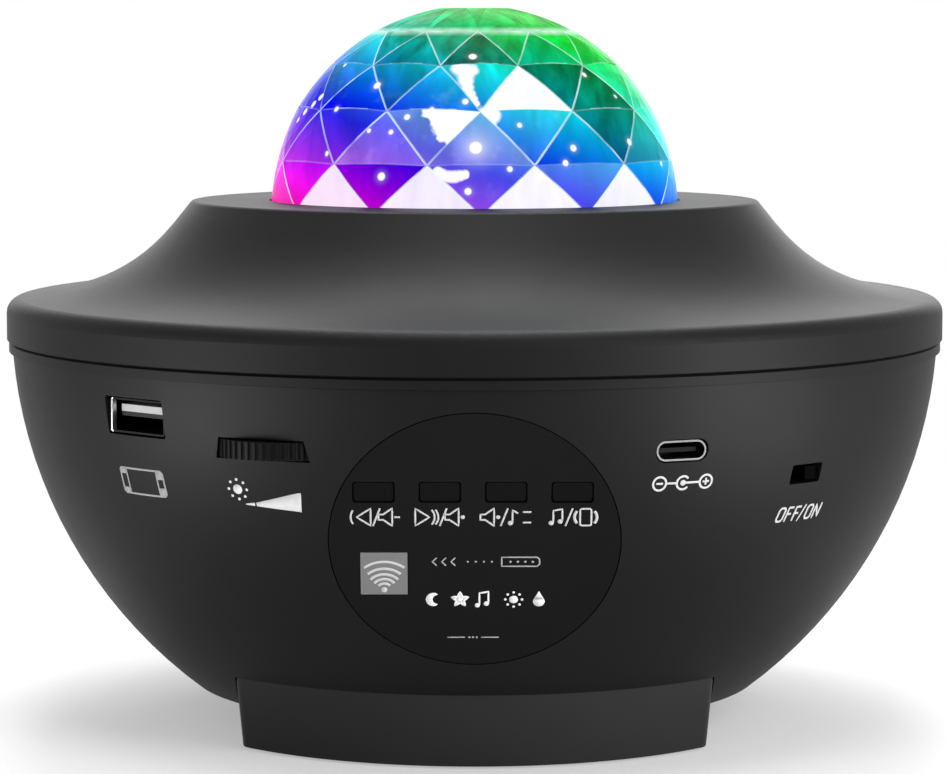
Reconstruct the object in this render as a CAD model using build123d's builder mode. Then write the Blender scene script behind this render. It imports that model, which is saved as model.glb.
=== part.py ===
from build123d import *
import os
from math import asin, cos, degrees, radians, sin, sqrt, tan

# Star night light projector: a bowl-shaped case on a flat-sided foot, a flared cover with a faceted
# dome, and inside them the light engine, a geared star and ripple drive, a speaker and one main board.
# Millimetres. +Z is up, the control panel faces -Y, and the origin is the middle of the underside.
# An azimuth is turned from the front (-Y) towards +X.

os.makedirs("parts", exist_ok=True)

# ---- Driving dimensions: the case ----------------------------------------------------------------
rim_overhang = 0.8
rim_lip_inset = 0.35
rim_groove_depth = 0.7
rim_groove_height = 0.6
rim_lip_height = 1.5
rim_band_height = 9.2
crown_round = 2.6
parting_height = 66.3
parting_gap = 0.1
flare_rise = 17.2
plateau_radius = 50.9
plateau_round = 0.8
flare_start_pull = (5.1, -6.4)
flare_end_pull = (-21.5, 0.9)
cover_wall = 2.5

bowl_radius = 83.2
bowl_centre_rise = 5.7
bowl_wall = 2.4
bowl_base_height = 13.0
cheek_base_height = 6.0
cheek_base_round = 1.6
tongue_wall = 1.4
tongue_height = 3.0
tongue_gap = 0.3

foot_step = 0.26
foot_taper = 2.4
foot_flat_top = 40.8
foot_flat_base = 39.8
foot_corner = 2.6
foot_base_round = 0.3
foot_wall = 2.4
foot_pad_stand = 0.4
foot_pad_radius = 5.0
foot_pad_depth = 1.0
foot_pad_inset = 10.8
foot_pad_azimuths = (35, 145, 215, 325)
foot_slot_count = 9
foot_slot_pitch = 5.0
foot_slot_width = 1.8
foot_slot_length = 3.6
grille_hole_radius = 1.1
grille_pitch = 3.6
grille_rings = 6
through_cut = 30.0

# ---- Driving dimensions: the dome ----------------------------------------------------------------
dome_radius = 36.7
dome_centre_drop = 1.85
dome_wall = 3.4
dome_sides = 12
dome_turn = 1.8
dome_latitudes = (14.3, 29.8, 45.2, 60.5, 80.0)
dome_flange_width = 3.7
dome_flange_thickness = 1.6
dome_collar_drop = 0.3
dome_gap = 0.3

# ---- Driving dimensions: fasteners and fits ------------------------------------------------------
m3_shank_radius = 1.5
m3_head_radius = 2.8
m3_head_height = 1.9
m3_length = 12.0
m2_shank_radius = 1.0
m2_head_radius = 1.9
m2_head_height = 1.3
m2_length = 6.0
thread_gap = 0.05
shank_gap = 0.15
head_gap = 0.25
boss_wall = 1.4
m3_boss_wall = 2.2
pilot_spare = 1.5
running_gap = 0.06
thrust_gap = 0.1
slip_gap = 0.15

# ---- Driving dimensions: case fixing points ------------------------------------------------------
post_reach = 12.2
post_azimuths = (40, 140, 220, 320)
post_top_above_parting = 1.7
post_web = 3.5
post_shoulder = 0.9
foot_boss_inset = 12.0
foot_boss_azimuths = (20, 160, 200, 340)
foot_boss_height = 7.0
foot_screw_seat = 6.0

# ---- Driving dimensions: control panel, keys and remote window -----------------------------------
panel_tilt = 22.9
panel_pocket_radius = 23.65
panel_gap = 0.2
panel_thickness = 1.2
panel_backing = 2.4
key_count = 4
key_pitch = 10.6
key_centre = (-0.27, 9.1)
key_hole = (6.8, 3.9)
key_gap = 0.25
key_sink = 0.2
key_round = 0.5
key_flange_over = 0.7
key_flange_thickness = 1.0
key_travel = 0.5
key_stem_radius = 1.2
ir_window_size = (7.9, 8.2)
ir_window_centre = (-14.66, -6.1)
ir_ledge = 1.0
ir_receiver_size = (5.6, 6.6, 2.6)
ir_lens_radius = 2.3
key_board_depth = 12.0
key_board_thickness = 1.2
key_board_half_width = 18.8
key_board_top = 13.0
key_board_bottom = -12.0
key_board_bosses = ((-15.6, 1.6), (15.1, 1.6), (0.0, -9.0))
tact_size = 4.5
tact_height = 3.4
tact_bore_depth = 1.6
stem_reach = 0.4

# ---- Driving dimensions: sockets, dial and power switch ------------------------------------------
dial_side_gap = 1.02
dial_drop = 10.5
dial_radius = 11.0
dial_thickness = 2.9
dial_stand_out = 2.6
dial_float = 0.25
dial_gap = 0.4
dial_slot_height = 3.5
dial_ridges = 52
dial_groove_radius = 0.42
dial_spindle_radius = 1.5
dial_cap_radius = 2.4
dial_cap_height = 0.6
pot_radius = 4.2
pot_height = 3.2
pot_bore_depth = 2.4
pot_tab = (6.0, 4.5, 1.0)

usb_a_azimuth = -42.9
usb_a_drop = 6.7
usb_a_hole = (13.9, 6.4)
usb_a_shell_size = (13.1, 5.7)
usb_a_length = 14.0
usb_a_tongue = (11.1, 1.9)
usb_a_tongue_rise = 0.75
usb_a_tongue_setback = 1.5
usb_a_contact = (1.2, 0.15)
usb_a_contact_pitch = 2.4
usb_a_back_wall = 1.2
usb_a_stand_length = 8.0
usb_c_azimuth = 24.1
usb_c_hole = (9.5, 3.8)
usb_c_shell_size = (8.94, 3.26)
usb_c_length = 7.4
usb_c_tongue = (6.7, 0.7)
usb_c_tongue_setback = 1.4
usb_c_plug_length = 1.5
usb_shell_wall = 0.3
socket_plug_length = 3.0
socket_sink = 0.9
socket_hole_round = 0.4

switch_azimuth = 42.9
switch_hole = (7.3, 3.3)
switch_body = (10.0, 4.7)
switch_body_depth = 4.6
switch_setback = 0.9
switch_front_wall = 1.0
switch_travel = 3.0
switch_knob = (2.6, 2.2)
switch_foot_width = 3.0
switch_foot_depth = 1.2
switch_cavity_depth = 2.4
switch_knob_sink = 0.5

# ---- Driving dimensions: main board --------------------------------------------------------------
board_edge_gap = 1.9
board_thickness = 1.6
board_rear = -4.0
board_notch_side_gap = 4.2
board_notch_rear_gap = 3.5
standoff_inset = 10.5
standoff_azimuth = 76
standoff_notch_distance = 13.5
connector_size = (6.5, 6.0, 5.0)
connector_rear = -6.0
lead_radius = 1.2
chip_sizes = ((14.0, 14.0, 1.2), (10.0, 6.0, 1.6), (6.5, 6.5, 1.2), (5.0, 4.0, 1.4))
chip_places = ((-12.0, -30.0), (12.0, -28.0), (54.0, -28.0), (-54.0, -28.0))
capacitor_radius = 3.2
capacitor_height = 7.0
capacitor_places = ((-16.0, -46.0), (16.0, -46.0), (-26.0, -22.0))
ribbon_width = 8.0
ribbon_thickness = 0.8
ribbon_start = -5.0
ribbon_run = 5.0
ribbon_bend = 1.6
led_lead_step = 6.0
motor_lead_drop = 9.0
motor_lead_bends = ((-22.0, 20.0, 11.0), (-40.0, 11.0, 7.0))
motor_lead_rise = 5.0
speaker_lead_start = 9.0
speaker_lead_bend = (18.0, 5.0, 12.0)

# ---- Driving dimensions: speaker -----------------------------------------------------------------
speaker_mouth_radius = 23.5
speaker_flange_radius = 29.4
speaker_screw_ring = 27.0
speaker_screw_azimuths = (45, 135, 225, 315)
speaker_seat_height = 18.0
speaker_sheet = 1.0
basket_height = 12.6
basket_top_radius = 15.0
basket_corner = 1.5
basket_window_count = 4
basket_window_width = 9.0
basket_window_depth = 4.0
top_plate_thickness = 2.0
magnet_radius = 16.0
magnet_bore_radius = 8.5
magnet_height = 7.0
yoke_radius = 14.0
yoke_thickness = 2.5
pole_radius = 6.3
coil_radius = 7.0
coil_wall = 0.5
coil_gap = 0.4
coil_length = 10.0
cone_rim_radius = 20.8
cone_rise = 0.4
cone_depth = 8.0
cone_sheet = 0.7
cap_bulge = 2.4
cap_slope = 0.6
roll_radius = 1.2
spider_rise = 1.2
spider_sheet = 0.5
soft_gap = 0.1
terminal_size = (9.0, 8.0, 1.4)
terminal_reach = 6.0

# ---- Driving dimensions: light engine and star drive ---------------------------------------------
frame_depth = 8.6
frame_floor = 2.0
frame_gear_gap = 0.65
frame_wall = 2.2
ear_reach = 5.7
ear_width = 9.0
quarter_azimuths = (0, 90, 180, 270)
disc_hub_rise = 1.3
gear_module = 0.8
gear_dedendum = 1.0
gear_tooth_width = 1.02
gear_flank_slope = 0.36
gear_thickness = 2.0
gear_lift = 2.9
gear_spread = 0.15
disc_teeth = 50
pinion_teeth = 12
grating_teeth = 20
pinion_direction = 90
grating_direction = 0
ripple_radius = 17.8
ripple_thickness = 1.5
ripple_ledge = 1.4
ripple_hub_radius = 3.0
ripple_waves = 5
ripple_wave_pitch = 2.8
ripple_wave_depth = 0.4
axle_radius = 1.0
axle_head_radius = 2.0
axle_head_height = 0.7
grating_hub_radius = 5.2
grating_hub_wall = 1.0
grating_hub_reach = 3.9
grating_film_thickness = 0.8
bearing_wall = 1.6
motor_shaft_radius = 1.5
gearbox_size = (12.0, 10.0, 9.0)
motor_can_radius = 6.0
motor_can_length = 12.0
motor_screw_offset = 4.3
lens_count = 4
lens_ring_radius = 11.0
lens_radius = 6.2
lens_flange = 1.0
lens_seat_drop = 1.6
lens_foot_radius = 3.6
lens_drop = 7.2
lens_holder_radius = 19.0
lens_holder_height = 10.1
led_board_thickness = 1.5
led_board_tab = (6.0, 4.5)
led_size = 3.5
led_thickness = 0.8
led_window_radius = 1.3
led_window_height = 0.25
sink_plate = 2.0
fin_height = 6.4
fin_thickness = 1.2
fin_pitch = 4.4
fin_count = 9
engine_screw_ring = 16.0
engine_screw_length = 16.0
laser_radius = 6.0
laser_length = 15.2
laser_top_gap = 0.8
laser_mouth_radius = 2.0
laser_mouth_depth = 2.0
laser_holder_radius = 8.2
laser_holder_height = 12.0
laser_ear_thickness = 2.0
laser_ear_offset = 10.6
laser_ear_width = 5.0


# ---- Shared geometry -----------------------------------------------------------------------------
def write_piece(piece, name):
    """Label a finished piece and write it to its own STEP file."""
    piece.part.label = name
    export_step(piece.part, f"parts/{name}.step")


def ring_points(radius, azimuths):
    """Points on a circle about the case's axis, one for each azimuth."""
    return [(radius * sin(radians(a)), -radius * cos(radians(a))) for a in azimuths]


def wall_plane(azimuth, height, distance):
    """A plane that faces straight out of the case, at a distance from its axis."""
    outward = Vector(sin(radians(azimuth)), -cos(radians(azimuth)), 0)
    across = Vector(cos(radians(azimuth)), sin(radians(azimuth)), 0)
    return Plane(origin=outward * distance + Vector(0, 0, height), x_dir=across, z_dir=outward)


bowl_centre_height = parting_height + bowl_centre_rise


def bowl_reach(radius, height):
    """The distance from the axis to a sphere about the bowl's centre, at a height."""
    return sqrt(radius**2 - (bowl_centre_height - height) ** 2)


def add_discs(plane, points, radius, amount, mode=Mode.ADD):
    """Round pegs or, with Mode.SUBTRACT, round holes at points of a plane."""
    with BuildSketch(plane) as discs:
        with Locations(*points):
            Circle(radius)
    extrude(discs.sketch, amount=amount, mode=mode)


def add_screws(seat, points, shank_radius, head_radius, head_height, length):
    """Pan-head screws: the heads stand on the plane's far side and the shanks run along its normal."""
    add_discs(seat, points, head_radius, -head_height)
    add_discs(seat, points, shank_radius, length)
    with BuildSketch(seat.offset(-head_height)) as recesses:
        with Locations(*points):
            Rectangle(head_radius, head_height / 4)
            Rectangle(head_height / 4, head_radius)
    extrude(recesses.sketch, amount=head_height / 2, mode=Mode.SUBTRACT)


rim_radius = bowl_radius + rim_overhang
rim_lip_radius = rim_radius - rim_lip_inset
crown_height = parting_height + rim_band_height
plateau_height = crown_height + flare_rise
inner_bowl_radius = bowl_radius - bowl_wall
bowl_floor_height = bowl_base_height + bowl_wall
cheek_floor_height = cheek_base_height + bowl_wall
foot_channel_half_width = foot_flat_top + slip_gap
bowl_top = parting_height - parting_gap
cover_inner_radius = rim_radius - cover_wall
plateau_underside = plateau_height - cover_wall
outer_base = bowl_reach(bowl_radius, bowl_base_height)
foot_radius_top = outer_base - foot_step
foot_radius_base = foot_radius_top - foot_taper
foot_boss_ring_radius = foot_radius_base - foot_boss_inset
disc_pitch_radius = gear_module * disc_teeth / 2
pinion_pitch_radius = gear_module * pinion_teeth / 2
grating_pitch_radius = gear_module * grating_teeth / 2
grating_reach = disc_pitch_radius + 2 * grating_pitch_radius + gear_spread + gear_module
frame_radius = grating_reach + frame_gear_gap + frame_wall
ear_ring_radius = frame_radius + ear_reach
post_ring_radius = frame_radius + post_reach
post_top = parting_height + post_top_above_parting
post_points = ring_points(post_ring_radius, post_azimuths)
post_bore_radius = m3_head_radius + head_gap
post_radius = post_bore_radius + boss_wall
foot_boss_points = ring_points(foot_boss_ring_radius, foot_boss_azimuths)
m3_boss_radius = m3_shank_radius + m3_boss_wall
m2_boss_radius = m2_shank_radius + boss_wall
dial_height = parting_height - dial_drop
usb_a_height = parting_height - usb_a_drop
board_top = dial_height - dial_thickness / 2 - dial_float
board_bottom = board_top - board_thickness
board_radius = bowl_reach(inner_bowl_radius, board_bottom) - board_edge_gap

flange_bottom = plateau_underside - dome_flange_thickness
frame_top = flange_bottom
frame_floor_top = frame_top - frame_depth
frame_base = frame_floor_top - frame_floor
ear_points = ring_points(ear_ring_radius, quarter_azimuths)

# ---- Case: flared cover --------------------------------------------------------------------------
dome_hole_radius = dome_radius + dome_gap
plateau_edge = Vector(plateau_radius, plateau_height)
crown_edge = Vector(rim_radius, crown_height)
cover_polygon = [
    Vector(0, plateau_height),
    plateau_edge,
    plateau_edge + Vector(*flare_start_pull),
    crown_edge + Vector(*flare_end_pull),
    crown_edge,
    Vector(rim_radius, parting_height),
]


def inset_corner(before, corner, after, wall):
    """Move a corner of the cover's outline inwards, so that both of its legs move by the wall."""
    first = (corner - before).normalized()
    second = (after - corner).normalized()
    normals = Vector(first.Y, -first.X) + Vector(second.Y, -second.X)
    return corner + normals * (wall / (1 + first.dot(second)))


cover_inset = [
    inset_corner(cover_polygon[i - 1], cover_polygon[i], cover_polygon[i + 1], cover_wall)
    for i in range(1, len(cover_polygon) - 1)
]

with BuildPart() as cover_core:
    with BuildSketch(Plane.XZ):
        with BuildLine():
            Line((0, parting_height), (0, plateau_underside))
            Line((0, plateau_underside), cover_inset[0])
            Bezier(*cover_inset)
            Line(cover_inset[-1], (cover_inner_radius, parting_height))
            Line((cover_inner_radius, parting_height), (0, parting_height))
        make_face()
    revolve(axis=Axis.Z)
    add_discs(Plane.XY.offset(post_top), post_points, m3_boss_radius, plateau_height, Mode.SUBTRACT)
    add_discs(Plane.XY.offset(frame_floor_top), ear_points, m3_boss_radius, plateau_height, Mode.SUBTRACT)

groove_top = parting_height + rim_lip_height + rim_groove_height
with BuildPart() as upper_cover:
    with BuildSketch(Plane.XZ):
        with BuildLine():
            Line((0, parting_height), (0, plateau_height))
            Line((0, plateau_height), plateau_edge)
            Bezier(*cover_polygon[1:5])
            Polyline(
                crown_edge,
                (rim_radius, groove_top),
                (rim_radius - rim_groove_depth, groove_top - rim_groove_height / 2),
                (rim_lip_radius, groove_top - rim_groove_height),
                (rim_lip_radius, parting_height),
                (0, parting_height),
            )
        make_face()
    revolve(axis=Axis.Z)
    crown_corner = upper_cover.edges().sort_by_distance((rim_radius, 0, crown_height))[0]
    fillet(crown_corner, crown_round)
    fillet(upper_cover.edges().sort_by(Axis.Z)[-1], plateau_round)
    add(cover_core.part, mode=Mode.SUBTRACT)
    add_discs(Plane.XY.offset(parting_height), [(0, 0)], dome_hole_radius, plateau_height, Mode.SUBTRACT)
    pilot_radius = m3_shank_radius + thread_gap
    pilot_depth = m3_length - post_web + pilot_spare
    add_discs(Plane.XY.offset(post_top), post_points, pilot_radius, pilot_depth, Mode.SUBTRACT)
    ear_pilot_depth = plateau_underside - frame_floor_top
    add_discs(Plane.XY.offset(frame_floor_top), ear_points, pilot_radius, ear_pilot_depth, Mode.SUBTRACT)
write_piece(upper_cover, "upper_cover")

# ---- Case: bowl ----------------------------------------------------------------------------------
panel_distance = sqrt(bowl_radius**2 - panel_pocket_radius**2)
panel_normal = Vector(0, -cos(radians(panel_tilt)), -sin(radians(panel_tilt)))
panel_origin = Vector(0, 0, bowl_centre_height) + panel_normal * panel_distance
panel_plane = Plane(origin=panel_origin, x_dir=(1, 0, 0), z_dir=panel_normal)
pocket_floor = panel_plane.offset(-panel_thickness)
backing_face = pocket_floor.offset(-panel_backing)
key_board_face = panel_plane.offset(-key_board_depth)
key_points = [
    (key_centre[0] + (i - (key_count - 1) / 2) * key_pitch, key_centre[1]) for i in range(key_count)
]
key_flange = (key_hole[0] + 2 * key_flange_over, key_hole[1] + 2 * key_flange_over)

# The main board's front notch clears the key board, which leans with the panel.
key_board_rear = key_board_face.offset(-key_board_thickness).origin
rear_at_board = key_board_rear.Y - (board_bottom - key_board_rear.Z) * tan(radians(panel_tilt))
board_notch_front = rear_at_board + board_notch_rear_gap
board_notch_half_width = key_board_half_width + board_notch_side_gap
board_standoffs = [
    *ring_points(board_radius - standoff_inset, (-standoff_azimuth, standoff_azimuth)),
    (0, board_notch_front + standoff_notch_distance),
]

dial_axis_distance = bowl_reach(bowl_radius, dial_height) + dial_stand_out - dial_radius
dial_side_reach = key_board_half_width + dial_side_gap + dial_radius
dial_azimuth = -degrees(asin(dial_side_reach / dial_axis_distance))
dial_point = ring_points(dial_axis_distance, (dial_azimuth,))[0]
usb_c_height = board_top + usb_c_shell_size[1] / 2
switch_height = board_bottom - switch_body[1] / 2
usb_a_face = bowl_reach(bowl_radius, usb_a_height) - socket_sink
usb_c_face = bowl_reach(bowl_radius, usb_c_height) - socket_sink / 2
switch_face = bowl_reach(inner_bowl_radius, switch_height) - switch_setback
tongue_outer_radius = cover_inner_radius - tongue_gap
tongue_inner_radius = tongue_outer_radius - tongue_wall
tongue_top = bowl_top + tongue_height

# The foot fills a channel across the bowl's base, and the bowl runs down beside it as two cheeks.
with BuildPart() as bowl_core:
    with BuildSketch(Plane.XZ):
        base_reach = bowl_reach(inner_bowl_radius, cheek_floor_height)
        side_height = bowl_centre_height - sqrt(inner_bowl_radius**2 - tongue_inner_radius**2)
        with BuildLine():
            Line((0, cheek_floor_height), (base_reach, cheek_floor_height))
            middle_height = (cheek_floor_height + side_height) / 2
            middle = (bowl_reach(inner_bowl_radius, middle_height), middle_height)
            ThreePointArc((base_reach, cheek_floor_height), middle, (tongue_inner_radius, side_height))
            Polyline(
                (tongue_inner_radius, side_height),
                (tongue_inner_radius, tongue_top),
                (0, tongue_top),
                (0, cheek_floor_height),
            )
        make_face()
    revolve(axis=Axis.Z)
    with BuildSketch(Plane.XY.offset(bowl_floor_height)):
        Rectangle(2 * (foot_channel_half_width + bowl_wall), 2 * bowl_radius)
    extrude(amount=cheek_floor_height - bowl_floor_height, mode=Mode.SUBTRACT)
    floor_plane = Plane.XY.offset(bowl_floor_height)
    shoulder_height = board_bottom - bowl_floor_height
    add_discs(floor_plane, post_points, post_radius + post_shoulder, shoulder_height, Mode.SUBTRACT)
    add_discs(floor_plane, post_points, post_radius, post_top - bowl_floor_height, Mode.SUBTRACT)
    add_discs(floor_plane, board_standoffs, m2_boss_radius, shoulder_height, Mode.SUBTRACT)
    add_discs(floor_plane, foot_boss_points, m3_boss_radius, foot_boss_height, Mode.SUBTRACT)
    seat_rise = speaker_seat_height - bowl_floor_height
    add_discs(floor_plane, [(0, 0)], speaker_flange_radius, seat_rise, Mode.SUBTRACT)
    backing_radius = panel_pocket_radius + panel_backing
    add_discs(backing_face, [(0, 0)], backing_radius, through_cut, Mode.SUBTRACT)
    boss_length = key_board_depth - panel_thickness - panel_backing
    add_discs(key_board_face, key_board_bosses, m2_boss_radius, boss_length, Mode.SUBTRACT)

with BuildPart() as lower_shell:
    with BuildSketch(Plane.XZ):
        outer_top = bowl_reach(bowl_radius, bowl_top)
        cheek_reach = bowl_reach(bowl_radius, cheek_base_height)
        with BuildLine():
            Line((0, cheek_base_height), (cheek_reach, cheek_base_height))
            belly_height = (cheek_base_height + bowl_top) / 2
            belly = (bowl_reach(bowl_radius, belly_height), belly_height)
            ThreePointArc((cheek_reach, cheek_base_height), belly, (outer_top, bowl_top))
            Polyline(
                (outer_top, bowl_top),
                (tongue_outer_radius, bowl_top),
                (tongue_outer_radius, tongue_top),
                (0, tongue_top),
                (0, cheek_base_height),
            )
        make_face()
    revolve(axis=Axis.Z)
    fillet(lower_shell.edges().group_by(Axis.Z)[0], cheek_base_round)
    with BuildSketch(Plane.XY.offset(bowl_base_height)):
        Rectangle(2 * foot_channel_half_width, 2 * bowl_radius)
    extrude(amount=cheek_base_height - bowl_base_height, mode=Mode.SUBTRACT)
    add(bowl_core.part, mode=Mode.SUBTRACT)
    # Panel pocket, its windows and the pilot holes of the key board.
    add_discs(pocket_floor, [(0, 0)], panel_pocket_radius, through_cut, Mode.SUBTRACT)
    with BuildSketch(pocket_floor):
        with Locations(*key_points):
            Rectangle(key_flange[0] + 2 * key_gap, key_flange[1] + 2 * key_gap)
        with Locations(ir_window_centre):
            Rectangle(ir_window_size[0] - 2 * ir_ledge, ir_window_size[1] - 2 * ir_ledge)
    extrude(amount=-2 * panel_backing, mode=Mode.SUBTRACT)
    m2_pilot = m2_shank_radius + thread_gap
    add_discs(key_board_face, key_board_bosses, m2_pilot, m2_length, Mode.SUBTRACT)
    # Mouths of the sockets, the dial and the power switch.
    usb_a_mouth = wall_plane(usb_a_azimuth, usb_a_height, usb_a_face)
    with BuildSketch(usb_a_mouth):
        RectangleRounded(*usb_a_hole, socket_hole_round)
    extrude(amount=2 * bowl_wall, both=True, mode=Mode.SUBTRACT)
    usb_c_mouth = wall_plane(usb_c_azimuth, usb_c_height, usb_c_face)
    with BuildSketch(usb_c_mouth):
        SlotOverall(*usb_c_hole)
    extrude(amount=2 * bowl_wall, both=True, mode=Mode.SUBTRACT)
    with BuildSketch(wall_plane(switch_azimuth, switch_height, switch_face)):
        RectangleRounded(*switch_hole, socket_hole_round)
    extrude(amount=through_cut, mode=Mode.SUBTRACT)
    dial_slot = Plane.XY.offset(dial_height - dial_slot_height / 2)
    add_discs(dial_slot, [dial_point], dial_radius + dial_gap, dial_slot_height, Mode.SUBTRACT)
    # Screw passages, pilot holes and the speaker's mouth.
    base_plane = Plane.XY.offset(bowl_base_height)
    bore_depth = post_top - post_web - bowl_base_height
    add_discs(base_plane, post_points, post_bore_radius, bore_depth, Mode.SUBTRACT)
    add_discs(base_plane, post_points, m3_shank_radius + shank_gap, post_top, Mode.SUBTRACT)
    foot_pilot_depth = foot_screw_seat + m3_length + pilot_spare - bowl_base_height
    add_discs(base_plane, foot_boss_points, pilot_radius, foot_pilot_depth, Mode.SUBTRACT)
    add_discs(base_plane, [(0, 0)], speaker_mouth_radius, seat_rise + bowl_wall, Mode.SUBTRACT)
    speaker_points = ring_points(speaker_screw_ring, speaker_screw_azimuths)
    seat_plane = Plane.XY.offset(speaker_seat_height)
    add_discs(seat_plane, speaker_points, m2_pilot, -m2_length + speaker_sheet, Mode.SUBTRACT)
    standoff_plane = Plane.XY.offset(board_bottom)
    add_discs(standoff_plane, board_standoffs, m2_pilot, -m2_length, Mode.SUBTRACT)
write_piece(lower_shell, "lower_shell")

# ---- Case: foot ----------------------------------------------------------------------------------
foot_floor_top = foot_pad_stand + foot_wall
foot_points = ring_points(foot_radius_base - foot_pad_inset, foot_pad_azimuths)
inner_corner = foot_corner - foot_wall


def draw_foot(sketch, radius, flat, corner):
    """The foot's section: a disc with two flats and rounded corners between them."""
    Circle(radius)
    Rectangle(2 * flat, 2 * radius, mode=Mode.INTERSECT)
    fillet(sketch.vertices(), corner)


with BuildPart() as foot_hollow:
    with BuildSketch(Plane.XY.offset(bowl_base_height)) as hollow_top:
        draw_foot(hollow_top, foot_radius_top - foot_wall, foot_flat_top - foot_wall, inner_corner)
    with BuildSketch(Plane.XY.offset(foot_floor_top)) as hollow_base:
        draw_foot(hollow_base, foot_radius_base - foot_wall, foot_flat_base - foot_wall, inner_corner)
    loft()
    post_height = bowl_base_height - foot_floor_top
    foot_post_radius = m3_head_radius + head_gap + boss_wall
    add_discs(
        Plane.XY.offset(foot_floor_top), foot_boss_points, foot_post_radius, post_height, Mode.SUBTRACT
    )

with BuildPart() as foot_base:
    with BuildSketch(Plane.XY.offset(bowl_base_height)) as foot_top_section:
        draw_foot(foot_top_section, foot_radius_top, foot_flat_top, foot_corner)
    with BuildSketch(Plane.XY.offset(foot_pad_stand)) as foot_base_section:
        draw_foot(foot_base_section, foot_radius_base, foot_flat_base, foot_corner)
    loft()
    fillet(foot_base.edges().group_by(Axis.Z)[0], foot_base_round)
    add(foot_hollow.part, mode=Mode.SUBTRACT)
    underside = Plane.XY.offset(foot_pad_stand)
    head_depth = foot_screw_seat - foot_pad_stand
    add_discs(underside, foot_boss_points, m3_head_radius + head_gap, head_depth, Mode.SUBTRACT)
    add_discs(underside, foot_boss_points, m3_shank_radius + shank_gap, bowl_base_height, Mode.SUBTRACT)
    add_discs(underside, foot_points, foot_pad_radius + slip_gap, foot_pad_depth, Mode.SUBTRACT)
    with BuildSketch(underside):
        Circle(grille_hole_radius)
        for ring in range(1, grille_rings + 1):
            with PolarLocations(ring * grille_pitch, 6 * ring):
                Circle(grille_hole_radius)
    extrude(amount=foot_wall, mode=Mode.SUBTRACT)
    with BuildSketch(Plane.YZ.offset(-foot_flat_top)):
        with Locations((0, (foot_floor_top + cheek_base_height) / 2)):
            with GridLocations(foot_slot_pitch, 0, foot_slot_count, 1):
                SlotOverall(foot_slot_length, foot_slot_width)
    extrude(amount=2 * foot_flat_top, mode=Mode.SUBTRACT)
write_piece(foot_base, "foot_base")

with BuildPart() as rubber_feet:
    add_discs(Plane.XY, foot_points, foot_pad_radius, foot_pad_stand + foot_pad_depth)
write_piece(rubber_feet, "rubber_feet")

# ---- Dome ----------------------------------------------------------------------------------------
dome_centre_height = plateau_height - dome_centre_drop
base_latitude = degrees(asin((flange_bottom - dome_centre_height) / dome_radius))


def dome_ring(level, latitude):
    """One ring of the dome's corners; every other ring is turned by half a facet."""
    turn = dome_turn + (level % 2) * 180 / dome_sides
    reach = dome_radius * cos(radians(latitude))
    height = dome_centre_height + dome_radius * sin(radians(latitude))
    azimuths = [turn + i * 360 / dome_sides for i in range(dome_sides)]
    return [Vector(x, y, height) for x, y in ring_points(reach, azimuths)]


dome_rings = [dome_ring(level, lat) for level, lat in enumerate((base_latitude, *dome_latitudes))]
facets = [
    Face(Wire.make_polygon(dome_rings[0])),
    Face(Wire.make_polygon(dome_rings[-1])),
]
for level in range(len(dome_rings) - 1):
    lower = dome_rings[level]
    upper = dome_rings[level + 1]
    for i in range(dome_sides):
        over = (i + level % 2) % dome_sides
        following = (i + 1) % dome_sides
        before_over = (over - 1) % dome_sides
        facets.append(Face(Wire.make_polygon([lower[i], lower[following], upper[over]])))
        facets.append(Face(Wire.make_polygon([lower[i], upper[over], upper[before_over]])))
dome_block = Solid(Shell(facets))

with BuildPart() as dome_cover:
    add(dome_block)
    flange_plane = Plane.XY.offset(flange_bottom)
    add_discs(flange_plane, [(0, 0)], dome_hole_radius + dome_flange_width, dome_flange_thickness)
    collar_height = plateau_height - dome_collar_drop - flange_bottom
    add_discs(flange_plane, [(0, 0)], dome_radius, collar_height)
    with Locations((0, 0, dome_centre_height)):
        Sphere(dome_radius - dome_wall, mode=Mode.SUBTRACT)
write_piece(dome_cover, "dome_cover")

# ---- Control panel, remote window and keys -------------------------------------------------------
with BuildPart() as control_panel:
    add_discs(pocket_floor, [(0, 0)], panel_pocket_radius - panel_gap, panel_thickness)
    with BuildSketch(pocket_floor):
        with Locations(*key_points):
            RectangleRounded(*key_hole, key_round)
        with Locations(ir_window_centre):
            Rectangle(*ir_window_size)
    extrude(amount=panel_thickness, mode=Mode.SUBTRACT)
write_piece(control_panel, "control_panel")

with BuildPart() as ir_window:
    with BuildSketch(pocket_floor):
        with Locations(ir_window_centre):
            Rectangle(ir_window_size[0] - 2 * slip_gap, ir_window_size[1] - 2 * slip_gap)
    extrude(amount=panel_thickness)
write_piece(ir_window, "ir_window")

for number, key_point in enumerate(key_points, start=1):
    with BuildPart() as button:
        flange_plane = pocket_floor.offset(-thrust_gap)
        with BuildSketch(flange_plane):
            with Locations(key_point):
                RectangleRounded(key_hole[0] - 2 * key_gap, key_hole[1] - 2 * key_gap, key_round)
        extrude(amount=panel_thickness + thrust_gap - key_sink)
        with BuildSketch(flange_plane):
            with Locations(key_point):
                RectangleRounded(*key_flange, key_round)
        extrude(amount=-key_flange_thickness)
        stem_end = key_board_depth - tact_height + stem_reach
        add_discs(panel_plane.offset(-stem_end), [key_point], key_stem_radius, stem_end - panel_thickness)
    write_piece(button, f"button_{number}")

# ---- Key board: board, key switches and remote receiver ------------------------------------------
with BuildPart() as button_board:
    with BuildSketch(key_board_face):
        board_middle = (key_board_top + key_board_bottom) / 2
        with Locations((key_centre[0], board_middle)):
            Rectangle(2 * key_board_half_width, key_board_top - key_board_bottom)
    extrude(amount=-key_board_thickness)
    add_discs(
        key_board_face, key_board_bosses, m2_shank_radius + shank_gap, -key_board_thickness, Mode.SUBTRACT
    )
write_piece(button_board, "button_board")

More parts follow.
